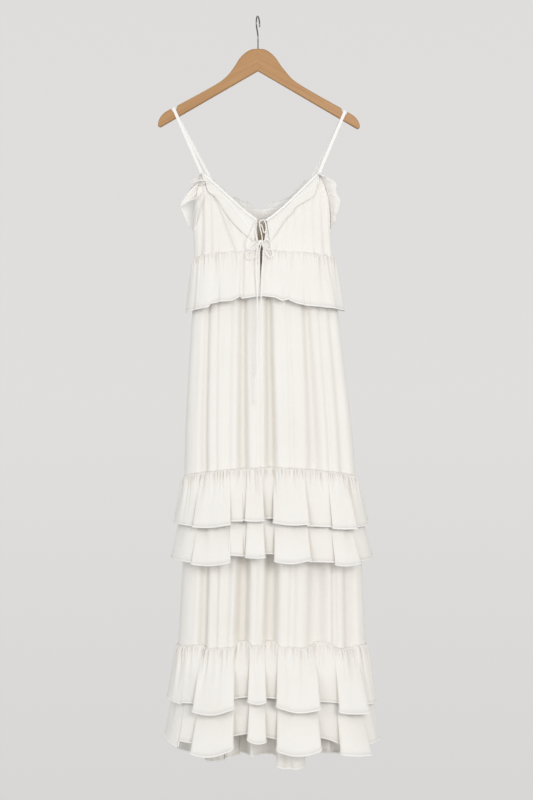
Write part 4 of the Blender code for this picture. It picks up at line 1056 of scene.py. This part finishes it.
def peplum_surface(turns, side, steps, small):
    """Middle points of the peplum, from the waist seam down to its hem."""
    turn = turns[None, :]
    step = steps[:, None]
    share = share_at(turn)
    lobes = PEPLUM_LOBES if side == FRONT else PEPLUM_BACK_LOBES
    fade = seam_fade(turn, SIDE_FADE)
    level = lobe_level(share, lobes, PEPLUM_EDGE) * fade
    if side == FRONT:
        hem = np.interp(share, PEPLUM_HEM[:, 0], PEPLUM_HEM[:, 1])
    else:
        hem = PEPLUM_BACK_HEM(turn) - PEPLUM_BACK_DROP * level
    top = waist_seam(turn) + OVER_SEAM
    z = top + (hem - top) * step
    down = (top - hem) * step
    out = (SEWN_ON + PEPLUM_FLARE * step ** PEPLUM_POWER + PEPLUM_DEEP * level * step
           + sum(gathers.height(turn + 0 * step, down) for gathers in small)
           * seam_fade(turn, SEAM_FLAT))
    points = tube(share + 0 * step, z, side, out)
    points[..., 0] += PEPLUM_TUCK * lobe_tuck(share, lobes) * step * fade
    return points


def add_peplum():
    steps, half = hem_rows(PEPLUM_LONG, RUFFLE_GAP)
    small = (Gathers(21, *PEPLUM_GATHERS), Gathers(23, *SOFT_FOLDS))
    # Columns: label, first and last turn, way out from the centre, columns of the
    # side seam and of the centre slit.
    halves = (("left", -1.0, 0.0, -1, 0, -1), ("right", 0.0, 1.0, 1, -1, 0))
    for label, low, high, way, seam, inner in halves:
        turns = np.linspace(low, high, PEPLUM_COLUMNS)
        middle = peplum_surface(turns, FRONT, steps, small)
        for row, step in zip(middle, steps):
            slit = PEPLUM_SLIT_TOP + (PEPLUM_SLIT_FOOT - PEPLUM_SLIT_TOP) * step
            edge = SLIT_CENTRE + way * slit
            way_across = (row[:, 0] - row[seam, 0]) / (row[inner, 0] - row[seam, 0])
            row[:, 0] += (edge - row[inner, 0]) * way_across ** SLIT_BLEND
        add_panel(f"peplum_front_{label}", middle, half, CRISP, "gathered",
                  [f"bodice_front_{label}"], flat_ends=(seam,), hem=True)
    turns = np.linspace(-1, 1, PEPLUM_BACK_COLUMNS)
    small = (Gathers(22, *PEPLUM_GATHERS), Gathers(24, *SOFT_FOLDS))
    add_panel("peplum_back", peplum_surface(turns, BACK, steps, small), half, CRISP,
              "gathered", ["bodice_back"], flat_ends=(0, -1), hem=True, inside=INSIDE_PAINTED_LIGHT_AND_SHADE)


# Bodice
# Each edge is a short list of places, x and z, seen from the front.

NECK_LEFT = ((-122.0, -341.0), (-97.7, -362.6), (-57.2, -400.0), (-29.5, -425.3),
             (-0.8, -447.9))
NECK_RIGHT = ((132.0, -342.0), (84.3, -389.8), (66.0, -407.7), (33.7, -436.0),
              (16.6, -447.9))
ARMHOLE_LEFT = ((-142.0, -466.0), (-138.6, -413.0), (-132.0, -375.8), (-124.0, -347.0))
ARMHOLE_RIGHT = ((160.0, -466.0), (157.6, -419.8), (150.5, -386.8), (134.0, -348.0))
NECK_BACK = ((-104.7, -347.0), (-92.4, -371.4), (-79.2, -387.9), (-53.2, -406.6),
             (-26.4, -415.4), (1.5, -419.8), (22.0, -418.2), (41.8, -414.3), (63.8, -409.6),
             (92.4, -382.4), (105.6, -367.0), (118.4, -347.0))
ARMHOLE_BACK_LEFT = ((-142.0, -466.0), (-139.0, -425.0), (-128.0, -385.0), (-107.0, -353.0))
ARMHOLE_BACK_RIGHT = ((160.0, -466.0), (156.5, -425.0), (144.0, -385.0), (121.0, -353.0))
BINDING = 6.0
BODICE_SLIT_HALF = 3.4
BODICE_LAP = 3.0
BINDING_LAP = 0.5

# Count, depth, reach and share of the long ones.
BODICE_GATHERS = (62, 2.2, 9.0, 0.1)

NECK_COLUMNS = 141
BACK_NECK_COLUMNS = 201
ARMHOLE_COLUMNS = 51
BODICE_ROWS = 46
ROW_POWER = 1.35
BODICE_FADE = 6


def bodice_point(x, z, side, out=0.0):
    """A point of the bodice at a place seen from the front."""
    return tube(share_of(x, z), z, side, out)


def under_binding(neck, columns):
    """The bodice's edge just below its neck binding."""
    return moved_in(smooth_line(neck, columns), BINDING - BINDING_LAP, (0, -1))


def armhole_edge(armhole, strap_end):
    """An armhole's edge from the armpit up to the strap."""
    return smooth_line(np.vstack([armhole[:-1], strap_end]), ARMHOLE_COLUMNS)


def bodice_edges():
    """The bodice's upper edges, places (x, z): necks and armholes by name."""
    front_left = under_binding(NECK_LEFT, NECK_COLUMNS)
    front_right = under_binding(NECK_RIGHT, NECK_COLUMNS)
    back = under_binding(NECK_BACK, BACK_NECK_COLUMNS)
    return {
        "neck_left": front_left,
        "neck_right": front_right,
        "neck_back": back,
        "arm_left": armhole_edge(ARMHOLE_LEFT, front_left[0]),
        "arm_right": armhole_edge(ARMHOLE_RIGHT, front_right[0]),
        "arm_back_left": armhole_edge(ARMHOLE_BACK_LEFT, back[0]),
        "arm_back_right": armhole_edge(ARMHOLE_BACK_RIGHT, back[-1]),
    }


EDGES = bodice_edges()


def waist_places(first, last, count):
    """Places along the waist seam between two turns."""
    turns = np.linspace(first, last, count)
    z = waist_seam(turns) - BODICE_LAP
    middle, half_width, _, _ = section(z)
    return np.stack([middle + half_width * share_at(turns), z], axis=-1)


# Soft folds of the bodice
# Columns: x and z of the upper end, x and z of the foot, half width, height.

BODICE_FRONT_FOLDS = (
    (-122.9, -379.0, -122.9, -540.7, 3.5, -2.5), (-114.6, -383.4, -112.4, -540.7, 4.0, 2.5),
    (-104.7, -398.7, -101.5, -540.7, 3.0, -2.0), (-94.9, -400.8, -47.9, -527.6, 3.2, -3.0),
    (-86.2, -405.2, -39.2, -527.6, 4.0, 1.6), (-66.3, -444.5, -39.2, -523.2, 1.6, -1.6),
    (-39.2, -470.8, -23.9, -523.2, 2.4, -1.5), (140.0, -383.4, 148.7, -540.7, 4.0, -2.5),
    (147.6, -405.2, 159.6, -540.7, 4.0, 2.0), (120.3, -405.2, 126.9, -536.3, 3.5, -2.2),
    (131.2, -396.5, 137.8, -536.3, 3.5, 1.6), (98.4, -418.3, 102.8, -531.9, 3.2, -1.8),
    (78.8, -435.8, 78.8, -531.9, 3.2, -1.5), (61.3, -453.3, 54.8, -527.6, 3.0, -1.5),
    (41.6, -483.9, 37.3, -525.4, 2.2, -1.2))
BODICE_BACK_FOLDS = (
    (-113.0, -370.0, -122.0, -540.0, 4.0, -2.4), (-101.0, -380.0, -98.0, -538.0, 4.5, 2.2),
    (-90.0, -388.0, -76.0, -535.0, 3.5, -2.6), (-62.0, -412.0, -52.0, -530.0, 3.5, -1.8),
    (-30.0, -424.0, -31.0, -526.0, 3.0, -1.4), (10.0, -430.0, 9.0, -522.0, 3.0, -1.3),
    (46.0, -422.0, 44.0, -526.0, 3.5, -1.6), (72.0, -412.0, 66.0, -530.0, 3.5, -2.0),
    (100.0, -384.0, 92.0, -535.0, 3.8, -2.6), (111.0, -376.0, 112.0, -538.0, 4.5, 2.2),
    (124.0, -370.0, 138.0, -540.0, 4.0, -2.4))
FOLD_TIP = 0.12
FOLD_START = 0.8
FOLD_SPREAD = 0.5


def bodice_folds(x, z, folds):
    """Height of the listed folds at places of the bodice."""
    total = 0 * x
    for top_x, top_z, foot_x, foot_z, width, high in folds:
        way = (top_z - z) / (top_z - foot_z)
        centre = top_x + (foot_x - top_x) * way
        tips = 1 / (1 + np.exp(-(way + FOLD_TIP / 2) / (FOLD_TIP / 3)))
        wide = width * (FOLD_START + FOLD_SPREAD * way)
        total = total + high * tips * np.exp(-((x - centre) / wide) ** 2)
    return total


def bodice_surface(low, high, side, small, folds, seams):
    """Rows of a bodice panel between its waist edge and its upper edge, places (x, z)."""
    run = np.linspace(0, 1, len(low))[None, :]
    fade = np.ones_like(run)
    for seam in seams:
        fade = fade * (1 - (run if seam == 1 else 1 - run) ** BODICE_FADE)
    rise = (np.linspace(0, 1, BODICE_ROWS)[:, None]) ** ROW_POWER
    share_low = share_of(low[:, 0], low[:, 1])[None, :]
    share_high = share_of(high[:, 0], high[:, 1])[None, :]
    share = share_low + (share_high - share_low) * rise
    z = low[None, :, 1] + (high[None, :, 1] - low[None, :, 1]) * rise
    flat = tube(share, z, side)
    up = z - low[None, :, 1]
    out = (bodice_folds(flat[..., 0], z, folds) + small.height(turn_at(share), up)) * fade
    return tube(share, z, side, out)


def add_bodice():
    for label, way, seed in (("left", -1, 31), ("right", 1, 32)):
        slit = turn_at(share_of(SLIT_CENTRE + way * BODICE_SLIT_HALF, waist_seam(0.0)))
        high = np.vstack([EDGES[f"arm_{label}"][:-1], EDGES[f"neck_{label}"]])
        middle = bodice_surface(waist_places(way, slit, len(high)), high, FRONT,
                                Gathers(seed, *BODICE_GATHERS), BODICE_FRONT_FOLDS, seams=(0,))
        add_panel(f"bodice_front_{label}", middle, THIN, COTTON, "hung", [f"strap_{label}"],
                  flat_ends=(0,))
    high = np.vstack([EDGES["arm_back_left"][:-1], EDGES["neck_back"],
                      EDGES["arm_back_right"][::-1][1:]])
    middle = bodice_surface(waist_places(-1, 1, len(high)), high, BACK,
                            Gathers(33, *BODICE_GATHERS), BODICE_BACK_FOLDS, seams=(0, 1))
    add_panel("bodice_back", middle, THIN, COTTON, "hung", ["strap_left", "strap_right"],
              flat_ends=(0, -1), inside=INSIDE_PAINTED_LIGHT_AND_SHADE)


# Frills at the neck and the armholes

# Neck frills: each falls to a fold and its hem turns up again over it
# Places x, z of the fold and of the hem, from the strap to the neck point.

FRILL_FOLD = {
    "left": ((-113.5, -368.1), (-106.9, -386.6), (-94.3, -396.5), (-78.5, -420.5),
             (-61.5, -445.2), (-37.2, -472.1), (-8.6, -496.3)),
    "right": ((130.1, -361.5), (125.8, -383.4), (119.2, -396.5), (96.3, -411.3),
              (80.5, -422.3), (73.3, -434.7), (62.2, -444.1), (47.8, -464.6), (27.0, -496.3)),
}
FRILL_HEM = {
    "left": ((-112.4, -365.9), (-105.8, -385.6), (-90.8, -389.5), (-76.1, -393.9),
             (-65.4, -403.0), (-47.9, -422.7), (-32.6, -443.5), (-17.4, -466.4), (-6.4, -486.1)),
    "right": ((131.2, -357.1), (130.3, -371.1), (108.5, -383.4), (87.7, -394.7),
              (70.0, -412.9), (52.6, -434.7), (37.3, -457.7), (23.1, -483.9)),
}
NECKS = {"left": NECK_LEFT, "right": NECK_RIGHT}
FRILL_DOWN = -1.5
FRILL_COLUMNS = 200
FRILL_LOW_ROWS = np.array([0.0, 0.1, 0.25, 0.45, 0.65, 0.82, 0.93, 1.0])
FRILL_TURN_OUT = 2.2
FRILL_LIE = 1.6
FRILL_SWELL = 2.6
FRILL_BEND = 0.9
FRILL_LONG = 26
TURNED_SWELL = 1.4
TURNED_WAVE = 0.9
TURNED_WAVES = 21
TURNED_LEAST = 2.5
FRILL_GAP = 3.0
FRILL_GATHERS = (14, 1.3, 9.0)
FRILL_THIN = 0.7


def neck_frill_surface(label, seed):
    """A frill from the neck binding down to its fold, and up again to its hem."""
    sewn = moved_in(smooth_line(NECKS[label], FRILL_COLUMNS), BINDING + FRILL_DOWN, (0, -1))
    fold = smooth_line(FRILL_FOLD[label], FRILL_COLUMNS)
    hem = smooth_line(FRILL_HEM[label], FRILL_COLUMNS)
    run = np.linspace(0, 1, FRILL_COLUMNS)
    small = Gathers(seed, *FRILL_GATHERS)
    rows = []
    for way in FRILL_LOW_ROWS:
        place = sewn + (fold - sewn) * way
        out = SEWN_ON + FRILL_LIE * way ** 0.5 + FRILL_SWELL * math.sin(math.pi * way)
        out = out + small.height(2 * run - 1, np.full(len(run), FRILL_LONG * way))
        rows.append(bodice_point(place[:, 0], place[:, 1], FRONT, out))
    for angle in np.radians((-45, 0, 45)):
        place = fold + unit(fold - sewn) * FRILL_BEND * math.cos(angle)
        out = SEWN_ON + FRILL_LIE + FRILL_TURN_OUT / 2 * (1 + math.sin(angle))
        rows.append(bodice_point(place[:, 0], place[:, 1], FRONT, out + 0 * run))
    turned = np.linalg.norm(hem - fold, axis=1).mean()
    steps, _ = hem_rows(max(turned, TURNED_LEAST * HEM_LONG), FRILL_GAP, seam=False)
    for way in steps:
        place = fold + (hem - fold) * way
        swell = (TURNED_SWELL * math.sin(math.pi * way)
                 + TURNED_WAVE * way * np.sin(TURNED_WAVES * run + 2))
        out = SEWN_ON + FRILL_LIE + FRILL_TURN_OUT + swell
        rows.append(bodice_point(place[:, 0], place[:, 1], FRONT, out))
    return np.stack(rows)


def add_neck_frills():
    hem_half = hem_rows(20.0, FRILL_GAP, seam=False)[1][-len(HEM_ROWS):] * FRILL_THIN
    for label, seed in (("left", 41), ("right", 42)):
        middle = neck_frill_surface(label, seed)
        half = np.full(len(middle), THIN)
        half[-len(HEM_ROWS):] = hem_half
        add_panel(f"neck_frill_front_{label}", middle, half, FRILL, "gathered",
                  [f"strap_{label}", f"bodice_front_{label}"], hem=True)


BACK_FRILL_HIGH = 15.0
BACK_FRILL_LEAN = 4.0
BACK_FRILL_WAVE = 3.0
BACK_FRILL_WAVES = 4
BACK_FRILL_END = 0.35
BACK_FRILL_EASE = 4
BACK_FRILL_OFF = 0.2
BACK_FRILL_GAP = 1.0
BACK_FRILL_SPAN = {"left": (9, 90), "right": (109, 191)}
BACK_FRILL_COLUMNS = 150
BACK_FRILL_SHIVER = 1.2
BACK_FRILL_SHIVERS = 23
BACK_FRILL_GATHERS = (11, 2.4, 14.0)
BACK_FRILL_THIN = 0.8


def add_back_frills():
    edge = moved_in(smooth_line(NECK_BACK, BACK_NECK_COLUMNS), BACK_FRILL_OFF, (0, 1))
    steps, half = hem_rows(BACK_FRILL_HIGH, BACK_FRILL_GAP, seam=False)
    step = steps[:, None]
    for (label, (first, last)), seed in zip(BACK_FRILL_SPAN.items(), (51, 52)):
        picked = along(edge[first:last + 1], BACK_FRILL_COLUMNS)
        base = bodice_point(picked[:, 0], picked[:, 1], BACK)
        run = np.linspace(0, 1, len(picked))[None, :]
        ends = np.minimum(1, BACK_FRILL_END + BACK_FRILL_EASE * np.minimum(run, 1 - run))
        small = Gathers(seed, *BACK_FRILL_GATHERS)
        ripple = small.height(2 * run - 1 + 0 * step, BACK_FRILL_HIGH * step)
        middle = base[None, :, :] + np.zeros((len(steps), 1, 3))
        middle[..., 2] += (BACK_FRILL_HIGH * ends * step
                           + BACK_FRILL_SHIVER * np.sin(BACK_FRILL_SHIVERS * run) * step)
        middle[..., 1] += step * (BACK_FRILL_LEAN + BACK_FRILL_WAVE * np.sin(
            2 * math.pi * BACK_FRILL_WAVES * run)) + ripple * step
        add_panel(f"neck_frill_back_{label}", middle, half * BACK_FRILL_THIN, SHEER_PAINTED_BRIGHT,
                  "gathered", [f"strap_{label}"])


# Armhole frills: where the frill's hem hangs
# Columns: way from the strap to the armpit, x, z and y of the hem.

ARM_FRILLS = {
    "left": (
        ((0.00, -120.2, -344.7, -21.0), (0.04, -148.7, -369.1, -27.0),
         (0.08, -138.2, -367.1, -33.0), (0.12, -126.1, -364.6, -37.0),
         (0.16, -112.5, -365.3, -39.0), (0.20, -120.0, -371.4, -24.0),
         (0.24, -133.4, -370.5, -18.0), (0.33, -155.1, -391.8, -22.0),
         (0.42, -169.4, -418.8, -28.0), (0.50, -150.2, -408.0, -32.0),
         (0.57, -137.0, -402.2, -35.0), (0.63, -126.9, -394.9, -37.0),
         (0.68, -121.8, -388.0, -34.0), (0.74, -124.4, -405.2, -24.0),
         (0.86, -131.1, -435.3, -20.0), (1.00, -139.1, -471.2, -8.0)),
        ((0.00, -119.6, -344.4, 20.0), (0.10, -137.3, -359.9, 20.0),
         (0.20, -152.8, -377.6, 20.0), (0.35, -163.8, -399.7, 20.0),
         (0.48, -170.6, -417.8, 22.0), (0.60, -165.9, -430.2, 22.0),
         (0.75, -157.2, -450.1, 20.0), (0.90, -149.2, -461.2, 14.0),
         (1.00, -141.2, -471.8, 8.0))),
    "right": (
        ((0.00, 132.4, -345.8, -21.0), (0.04, 139.9, -352.8, -27.0),
         (0.08, 148.5, -354.9, -30.0), (0.13, 158.3, -359.1, -30.0),
         (0.19, 167.8, -366.9, -28.0), (0.27, 171.2, -378.4, -28.0),
         (0.36, 174.7, -397.0, -28.0), (0.44, 179.2, -407.3, -30.0),
         (0.52, 178.6, -419.1, -30.0), (0.62, 172.6, -433.7, -28.0),
         (0.74, 170.5, -443.7, -26.0), (0.86, 168.4, -453.3, -24.0),
         (1.00, 160.2, -466.0, -10.0)),
        ((0.00, 134.9, -344.4, 20.0), (0.20, 165.8, -364.3, 20.0),
         (0.40, 174.7, -395.3, 20.0), (0.60, 172.5, -419.6, 20.0),
         (0.85, 165.6, -449.0, 14.0), (1.00, 159.8, -465.1, 8.0))),
}
ARM_COLUMNS = 200
ARM_CLEAR = 0.5
ARM_LONG = 30
ARM_GATHER_REACH = 22.0
ARM_BACK_SEED = 5
ARM_THIN = 0.8
ARM_ROWS_LONG = 28.0
ARM_GAP = 2.0
ARM_LIFT = 0.3
ARM_WAVE_POWER = 0.9
ARM_SWELL_EASE = 6
ARM_EASE = 8

# Columns: bulge, ripple, gathers in half a frill, waves of the hem and their height.
ARM_SHAPE = {"left": (3.0, 1.2, 8, 0, 0.0), "right": (5.5, 3.0, 8, 5, 1.8)}


def arm_frill_half(edge, side, hem, way_out, steps, seed, shape):
    """Half a frill: from the armhole edge out to its hem, strap first."""
    bulge, ripple_deep, count, waves, wave_high = shape
    points = bodice_point(edge[:, 0], edge[:, 1], side)
    points[:, (0, 2)] += moved_in(edge, ARM_CLEAR, (way_out, ARM_LIFT)) - edge
    base = along(points[::-1], ARM_COLUMNS)
    fine = smooth_curve(hem)
    way = np.linspace(0, 1, ARM_COLUMNS)
    free = np.stack([np.interp(way, fine[:, 0], fine[:, k]) for k in (1, 3, 2)], axis=-1)
    ease = np.minimum(1, ARM_EASE * (1 - way))
    wave = wave_high * np.sin(2 * math.pi * waves * way ** ARM_WAVE_POWER) * ease
    free = free + unit(free - base) * wave[:, None]
    middle = base[None] + (free - base)[None] * steps[:, None, None]
    step = steps[:, None]
    way = way[None, :]
    small = Gathers(seed, count, ripple_deep, ARM_GATHER_REACH)
    ripple = small.height(2 * way - 1 + 0 * step, ARM_LONG * step)
    swell = bulge * np.sin(math.pi * step) * np.minimum(1, ARM_SWELL_EASE * (1 - way))
    middle[..., 1] += side * (ripple + swell) * ease
    return middle


def arm_frill_surface(label, way_out, steps, seed):
    """A frill round an armhole: down its front edge and up its back edge."""
    front_hem, back_hem = ARM_FRILLS[label]
    shape = ARM_SHAPE[label]
    front = arm_frill_half(EDGES[f"arm_{label}"], FRONT, front_hem, way_out, steps, seed, shape)
    back = arm_frill_half(EDGES[f"arm_back_{label}"], BACK, back_hem, way_out, steps,
                          seed + ARM_BACK_SEED, shape)
    join = (front[:, -1:] + back[:, -1:]) / 2
    return np.concatenate([front[:, :-1], join, back[:, ::-1][:, 1:]], axis=1)


def add_arm_frills():
    steps, half = hem_rows(ARM_ROWS_LONG, ARM_GAP, seam=False)
    for label, way_out, seed in (("left", -1, 61), ("right", 1, 62)):
        middle = arm_frill_surface(label, way_out, steps, seed)
        add_panel(f"armhole_frill_{label}", middle, half * ARM_THIN, FRILL, "gathered",
                  [f"bodice_front_{label}", "bodice_back"], hem=True)


# Straps: one bias strip binds the neck edge and goes on over the hanger

STRAP_WIDE = 7.0
BINDING_TRIM = 0.5
HANGER_HALF = 6.0
NOTCHES = {"left": (-184.0, -202.4), "right": (190.0, -209.2)}
OVER_ARM = HANGER_HALF + 1.0
NOTCH_DROP = 0.35
STRAND_POINTS = 110
BEND_POINTS = 25
EASE = 4
STRIP_THICK = 1.5

# Outline of the strip across its run, in half widths and half thicknesses.
STRIP_PROFILE = ((1.0, 0.0), (0.92, 1.0), (-0.92, 1.0), (-1.0, 0.0), (-0.92, -1.0), (0.92, -1.0))


def bound_edge(neck, columns, side):
    """Points and facings along the middle of a neck binding."""
    places = moved_in(smooth_line(neck, columns), BINDING / 2, (0, -1))
    points = bodice_point(places[:, 0], places[:, 1], side)
    return points, bodice_point(places[:, 0], places[:, 1], side, 1.0) - points


def blend(first, last, count):
    """Rows between two rows, without the ends."""
    way = np.linspace(0, 1, count + 2)[1:-1, None]
    return np.asarray(first) + (np.asarray(last) - np.asarray(first)) * way


def add_strip(name, centres, across, facings, wide):
    """A flat closed strip swept along its centres."""
    side, rise = np.array(STRIP_PROFILE).T
    rings = (centres[:, None] + across[:, None] * (side[None, :] * wide[:, None] / 2)[..., None]
             + facings[:, None] * (rise * STRIP_THICK / 2)[None, :, None])
    count, sides = rings.shape[:2]
    index = np.arange(count * sides).reshape(count, sides)
    after = np.roll(index, -1, axis=1)
    faces = np.stack([index[:-1], after[:-1], after[1:], index[1:]], axis=-1).reshape(-1, 4)
    points = rings.reshape(-1, 3)
    faces = outward(points, faces).tolist() + [index[0][::-1].tolist(), index[-1].tolist()]
    obj = add_mesh(name, points, faces, BIAS_PAINTED_BRIGHT)
    obj.data.shade_flat()
    places = np.broadcast_arrays(running(centres)[:, None], (side * wide.mean() / 2)[None, :])
    write_map(obj, np.stack(places, axis=-1).reshape(-1, 2))
    return obj


def strap_run(label, back_points, back_facings):
    """Centres, facings and widths of one strap: up the neck, over the arm and down behind."""
    way = -1 if label == "left" else 1
    front_points, front_facings = (
        rows[::-1] for rows in bound_edge(NECKS[label], NECK_COLUMNS, FRONT))
    centre_column = BACK_NECK_COLUMNS // 2
    picked = slice(0, centre_column + 1) if way < 0 else slice(None, centre_column - 1, -1)
    behind, behind_facings = back_points[picked].copy(), back_facings[picked]
    behind[-1, 0] += way * BINDING_TRIM
    x, z = NOTCHES[label]
    angles = np.radians(np.linspace(180, 0, BEND_POINTS))
    bend = np.stack([0 * angles + x, OVER_ARM * np.cos(angles),
                     z - OVER_ARM * NOTCH_DROP + OVER_ARM * np.sin(angles)], axis=-1)
    bend_facings = np.stack([0 * angles, np.cos(angles), np.sin(angles)], axis=-1)
    centres, facings = (
        np.vstack([front, blend(front[-1], over[0], STRAND_POINTS), over,
                   blend(over[-1], back[0], STRAND_POINTS), back])
        for front, over, back in ((front_points, bend, behind),
                                  (front_facings, bend_facings, behind_facings)))
    wide = np.full(len(centres), BINDING)
    wide[len(front_points):len(centres) - len(behind)] = STRAP_WIDE
    kernel = np.ones(2 * EASE + 1) / (2 * EASE + 1)
    wide = np.convolve(np.pad(wide, EASE, mode="edge"), kernel, mode="valid")
    return centres, facings, wide


def add_straps():
    back_points, back_facings = bound_edge(NECK_BACK, BACK_NECK_COLUMNS, BACK)
    for label in NECKS:
        centres, facings, wide = strap_run(label, back_points, back_facings)
        ahead = unit(np.gradient(centres, axis=0))
        facings = unit(facings - ahead * (facings * ahead).sum(axis=1, keepdims=True))
        across = np.cross(ahead, facings)
        obj = add_strip(f"strap_{label}_strip", centres, across, facings, wide)
        settle(obj, "cotton", f"strap_{label}")


# Hanger
# Columns: x, z round each half, from the top centre over the tip to the underside.

HANGER_LEFT = ((0, -70), (-17, -72.5), (-37.4, -87.6), (-50.6, -107.4), (-61.6, -122.8),
               (-77, -138.2), (-101.2, -153.6), (-177, -195), (-179.5, -203.5),
               (-188.5, -208), (-191, -202), (-208, -212.5), (-217.5, -226), (-219.5, -240),
               (-214, -242.5), (0, -118.8))
HANGER_RIGHT = ((0, -70), (17, -72.5), (36.7, -87.6), (50.6, -107.4), (63.8, -123.9),
                (77, -138.2), (101.2, -154.5), (183, -201), (185.5, -210), (194.5, -215),
                (197, -209.5), (211.5, -218.5), (221.5, -231), (223.5, -243.5),
                (218.5, -246.5), (0, -118.8))
HANGER_BEVEL = 2.6
BEVEL_STEPS = 4
CLOSEST = 0.6
TOP_RUN = slice(0, 8)
END_RUN = slice(7, 10)
TIP_RUN = slice(10, 15)
UNDER_RUN = slice(14, None)
JOINT_GAP = 0.02


def arm_outline(outline, way):
    """The arm's outline with its top and its tip smoothed, turning one way round."""
    outline = np.array(outline, dtype=float)
    places = np.vstack([smooth_curve(outline[TOP_RUN])[::3], outline[END_RUN],
                        smooth_curve(outline[TIP_RUN])[::3], outline[UNDER_RUN]])
    apart = np.linalg.norm(np.diff(places, axis=0), axis=1) > CLOSEST
    places = places[np.concatenate([[True], apart])]
    places[places[:, 0] == 0, 0] = way * JOINT_GAP
    return places[::-1] if way > 0 else places


def round_rims(obj):
    """Bevel the arm's rims, but not where it meets the other arm."""
    mesh = obj.data
    weight = mesh.attributes.new("bevel_weight_edge", "FLOAT", "EDGE")
    for edge, value in zip(mesh.edges, weight.data):
        first, last = (mesh.vertices[k].co for k in edge.vertices)
        on_rim = abs(first.y - last.y) < GAP * MM
        at_joint = max(abs(first.x), abs(last.x)) < GAP * MM
        value.value = 1.0 if on_rim and not at_joint else 0.0
        edge.use_edge_sharp = at_joint
    bevel = obj.modifiers.new("rounded edges", "BEVEL")
    bevel.width = HANGER_BEVEL * MM
    bevel.segments = BEVEL_STEPS
    bevel.limit_method = "WEIGHT"
    bevel.harden_normals = True


def add_hanger():
    for label, outline, way, material in (("left", HANGER_LEFT, -1, BEECH_LEFT),
                                          ("right", HANGER_RIGHT, 1, BEECH_RIGHT)):
        places = arm_outline(outline, way)
        count = len(places)
        front = np.column_stack([places[:, 0], np.full(count, -HANGER_HALF), places[:, 1]])
        faces = [tuple(range(count)), tuple(range(2 * count - 1, count - 1, -1))]
        faces += [(k, k + count, (k + 1) % count + count, (k + 1) % count)
                  for k in range(count)]
        obj = add_mesh(f"hanger_arm_{label}_wood", np.vstack([front, front * (1, -1, 1)]),
                       faces, material)
        round_rims(obj)
        settle(obj, "wood", f"hanger_arm_{label}")


HOOK_RADIUS = 17.0
WIRE = 3.2
WIRE_SIDES = 5
HOOK_TURN = math.radians(78)
HOOK_STEM = ((0.0, -69.6), (0.0, -60.0), (0.0, -48.0), (-1.5, -40.0), (-6.5, -33.0))
HOOK_ANGLES = np.arange(-135, -372, -18)


def add_hook():
    centre = WIRE / 2 - HOOK_RADIUS
    places = list(HOOK_STEM)
    for angle in np.radians(HOOK_ANGLES):
        places.append((HOOK_RADIUS * math.cos(angle), centre + HOOK_RADIUS * math.sin(angle)))
    route = smooth_curve([(h * math.cos(HOOK_TURN), h * math.sin(HOOK_TURN), z)
                          for h, z in places])
    obj = add_wire("hook_wire", route, WIRE, WIRE_SIDES, WIRE_STEEL)
    settle(obj, "wire", "hook")


add_hanger()
add_hook()
add_straps()
add_bodice()
add_neck_frills()
add_back_frills()
add_arm_frills()
add_peplum()
add_skirts()
add_ruffles()


# Floor, background and light

FLOOR_Z = -2.05
FLOOR_RADIUS = 1.28
FLOOR_SIDES = 96
FLOOR_PAINT = (0.72, 0.715, 0.70)
FLOOR_ROUGH = 0.9


def add_floor():
    ring = np.linspace(0, 2 * math.pi, FLOOR_SIDES, endpoint=False)
    points = np.stack([FLOOR_RADIUS * np.cos(ring), FLOOR_RADIUS * np.sin(ring),
                       np.full(len(ring), FLOOR_Z)], axis=-1)
    mesh = bpy.data.meshes.new("floor")
    mesh.from_pydata(points.tolist(), [], [tuple(range(len(ring)))])
    mesh.materials.append(new_material("floor_paint", FLOOR_PAINT, FLOOR_ROUGH, {})[0])
    add_object("floor", mesh)


# World brightness by the height of the direction
# Columns: sine of the height as a share from straight down to straight up, colour.
WORLD_BANDS = (
    (0.00, (0.30, 0.295, 0.285)), (0.28, (0.42, 0.414, 0.402)), (0.37, (0.68, 0.672, 0.660)),
    (0.50, (0.745, 0.735, 0.720)), (0.62, (0.735, 0.725, 0.712)), (0.73, (0.58, 0.576, 0.565)),
    (1.00, (0.40, 0.398, 0.39)))


def add_world():
    world = bpy.data.worlds.new("studio")
    world.use_nodes = True
    tree = world.node_tree
    background = tree.nodes["Background"]
    background.inputs["Strength"].default_value = 1.0
    place = add_node(tree, "ShaderNodeTexCoord").outputs["Generated"]
    high = add_node(tree, "ShaderNodeSeparateXYZ", {0: place}).outputs["Z"]
    share = ranged(tree, high, from_min=-1.0, from_max=1.0)
    tree.links.new(colour_ramp(tree, share, WORLD_BANDS), background.inputs["Color"])
    bpy.context.scene.world = world


MID_DRESS = (0.0, 0.0, -0.9)


def add_light(name, place, size, energy, colour):
    """A round lamp that looks at the middle of the dress."""
    data = bpy.data.lights.new(name, "AREA")
    data.shape = "DISK"
    data.size = size
    data.energy = energy
    data.color = colour
    lamp = add_object(name, data)
    lamp.location = place
    toward = Vector(MID_DRESS) - Vector(place)
    lamp.rotation_euler = toward.to_track_quat("-Z", "Y").to_euler()


add_floor()
add_world()
add_light("key", (1.4, -3.6, -0.1), 1.6, 48.0, (1.0, 0.985, 0.965))
add_light("fill", (-2.4, -3.2, 0.1), 2.2, 25.0, (0.97, 0.985, 1.0))
bpy.context.scene.view_settings.view_transform = "Standard"
bpy.context.view_layer.update()
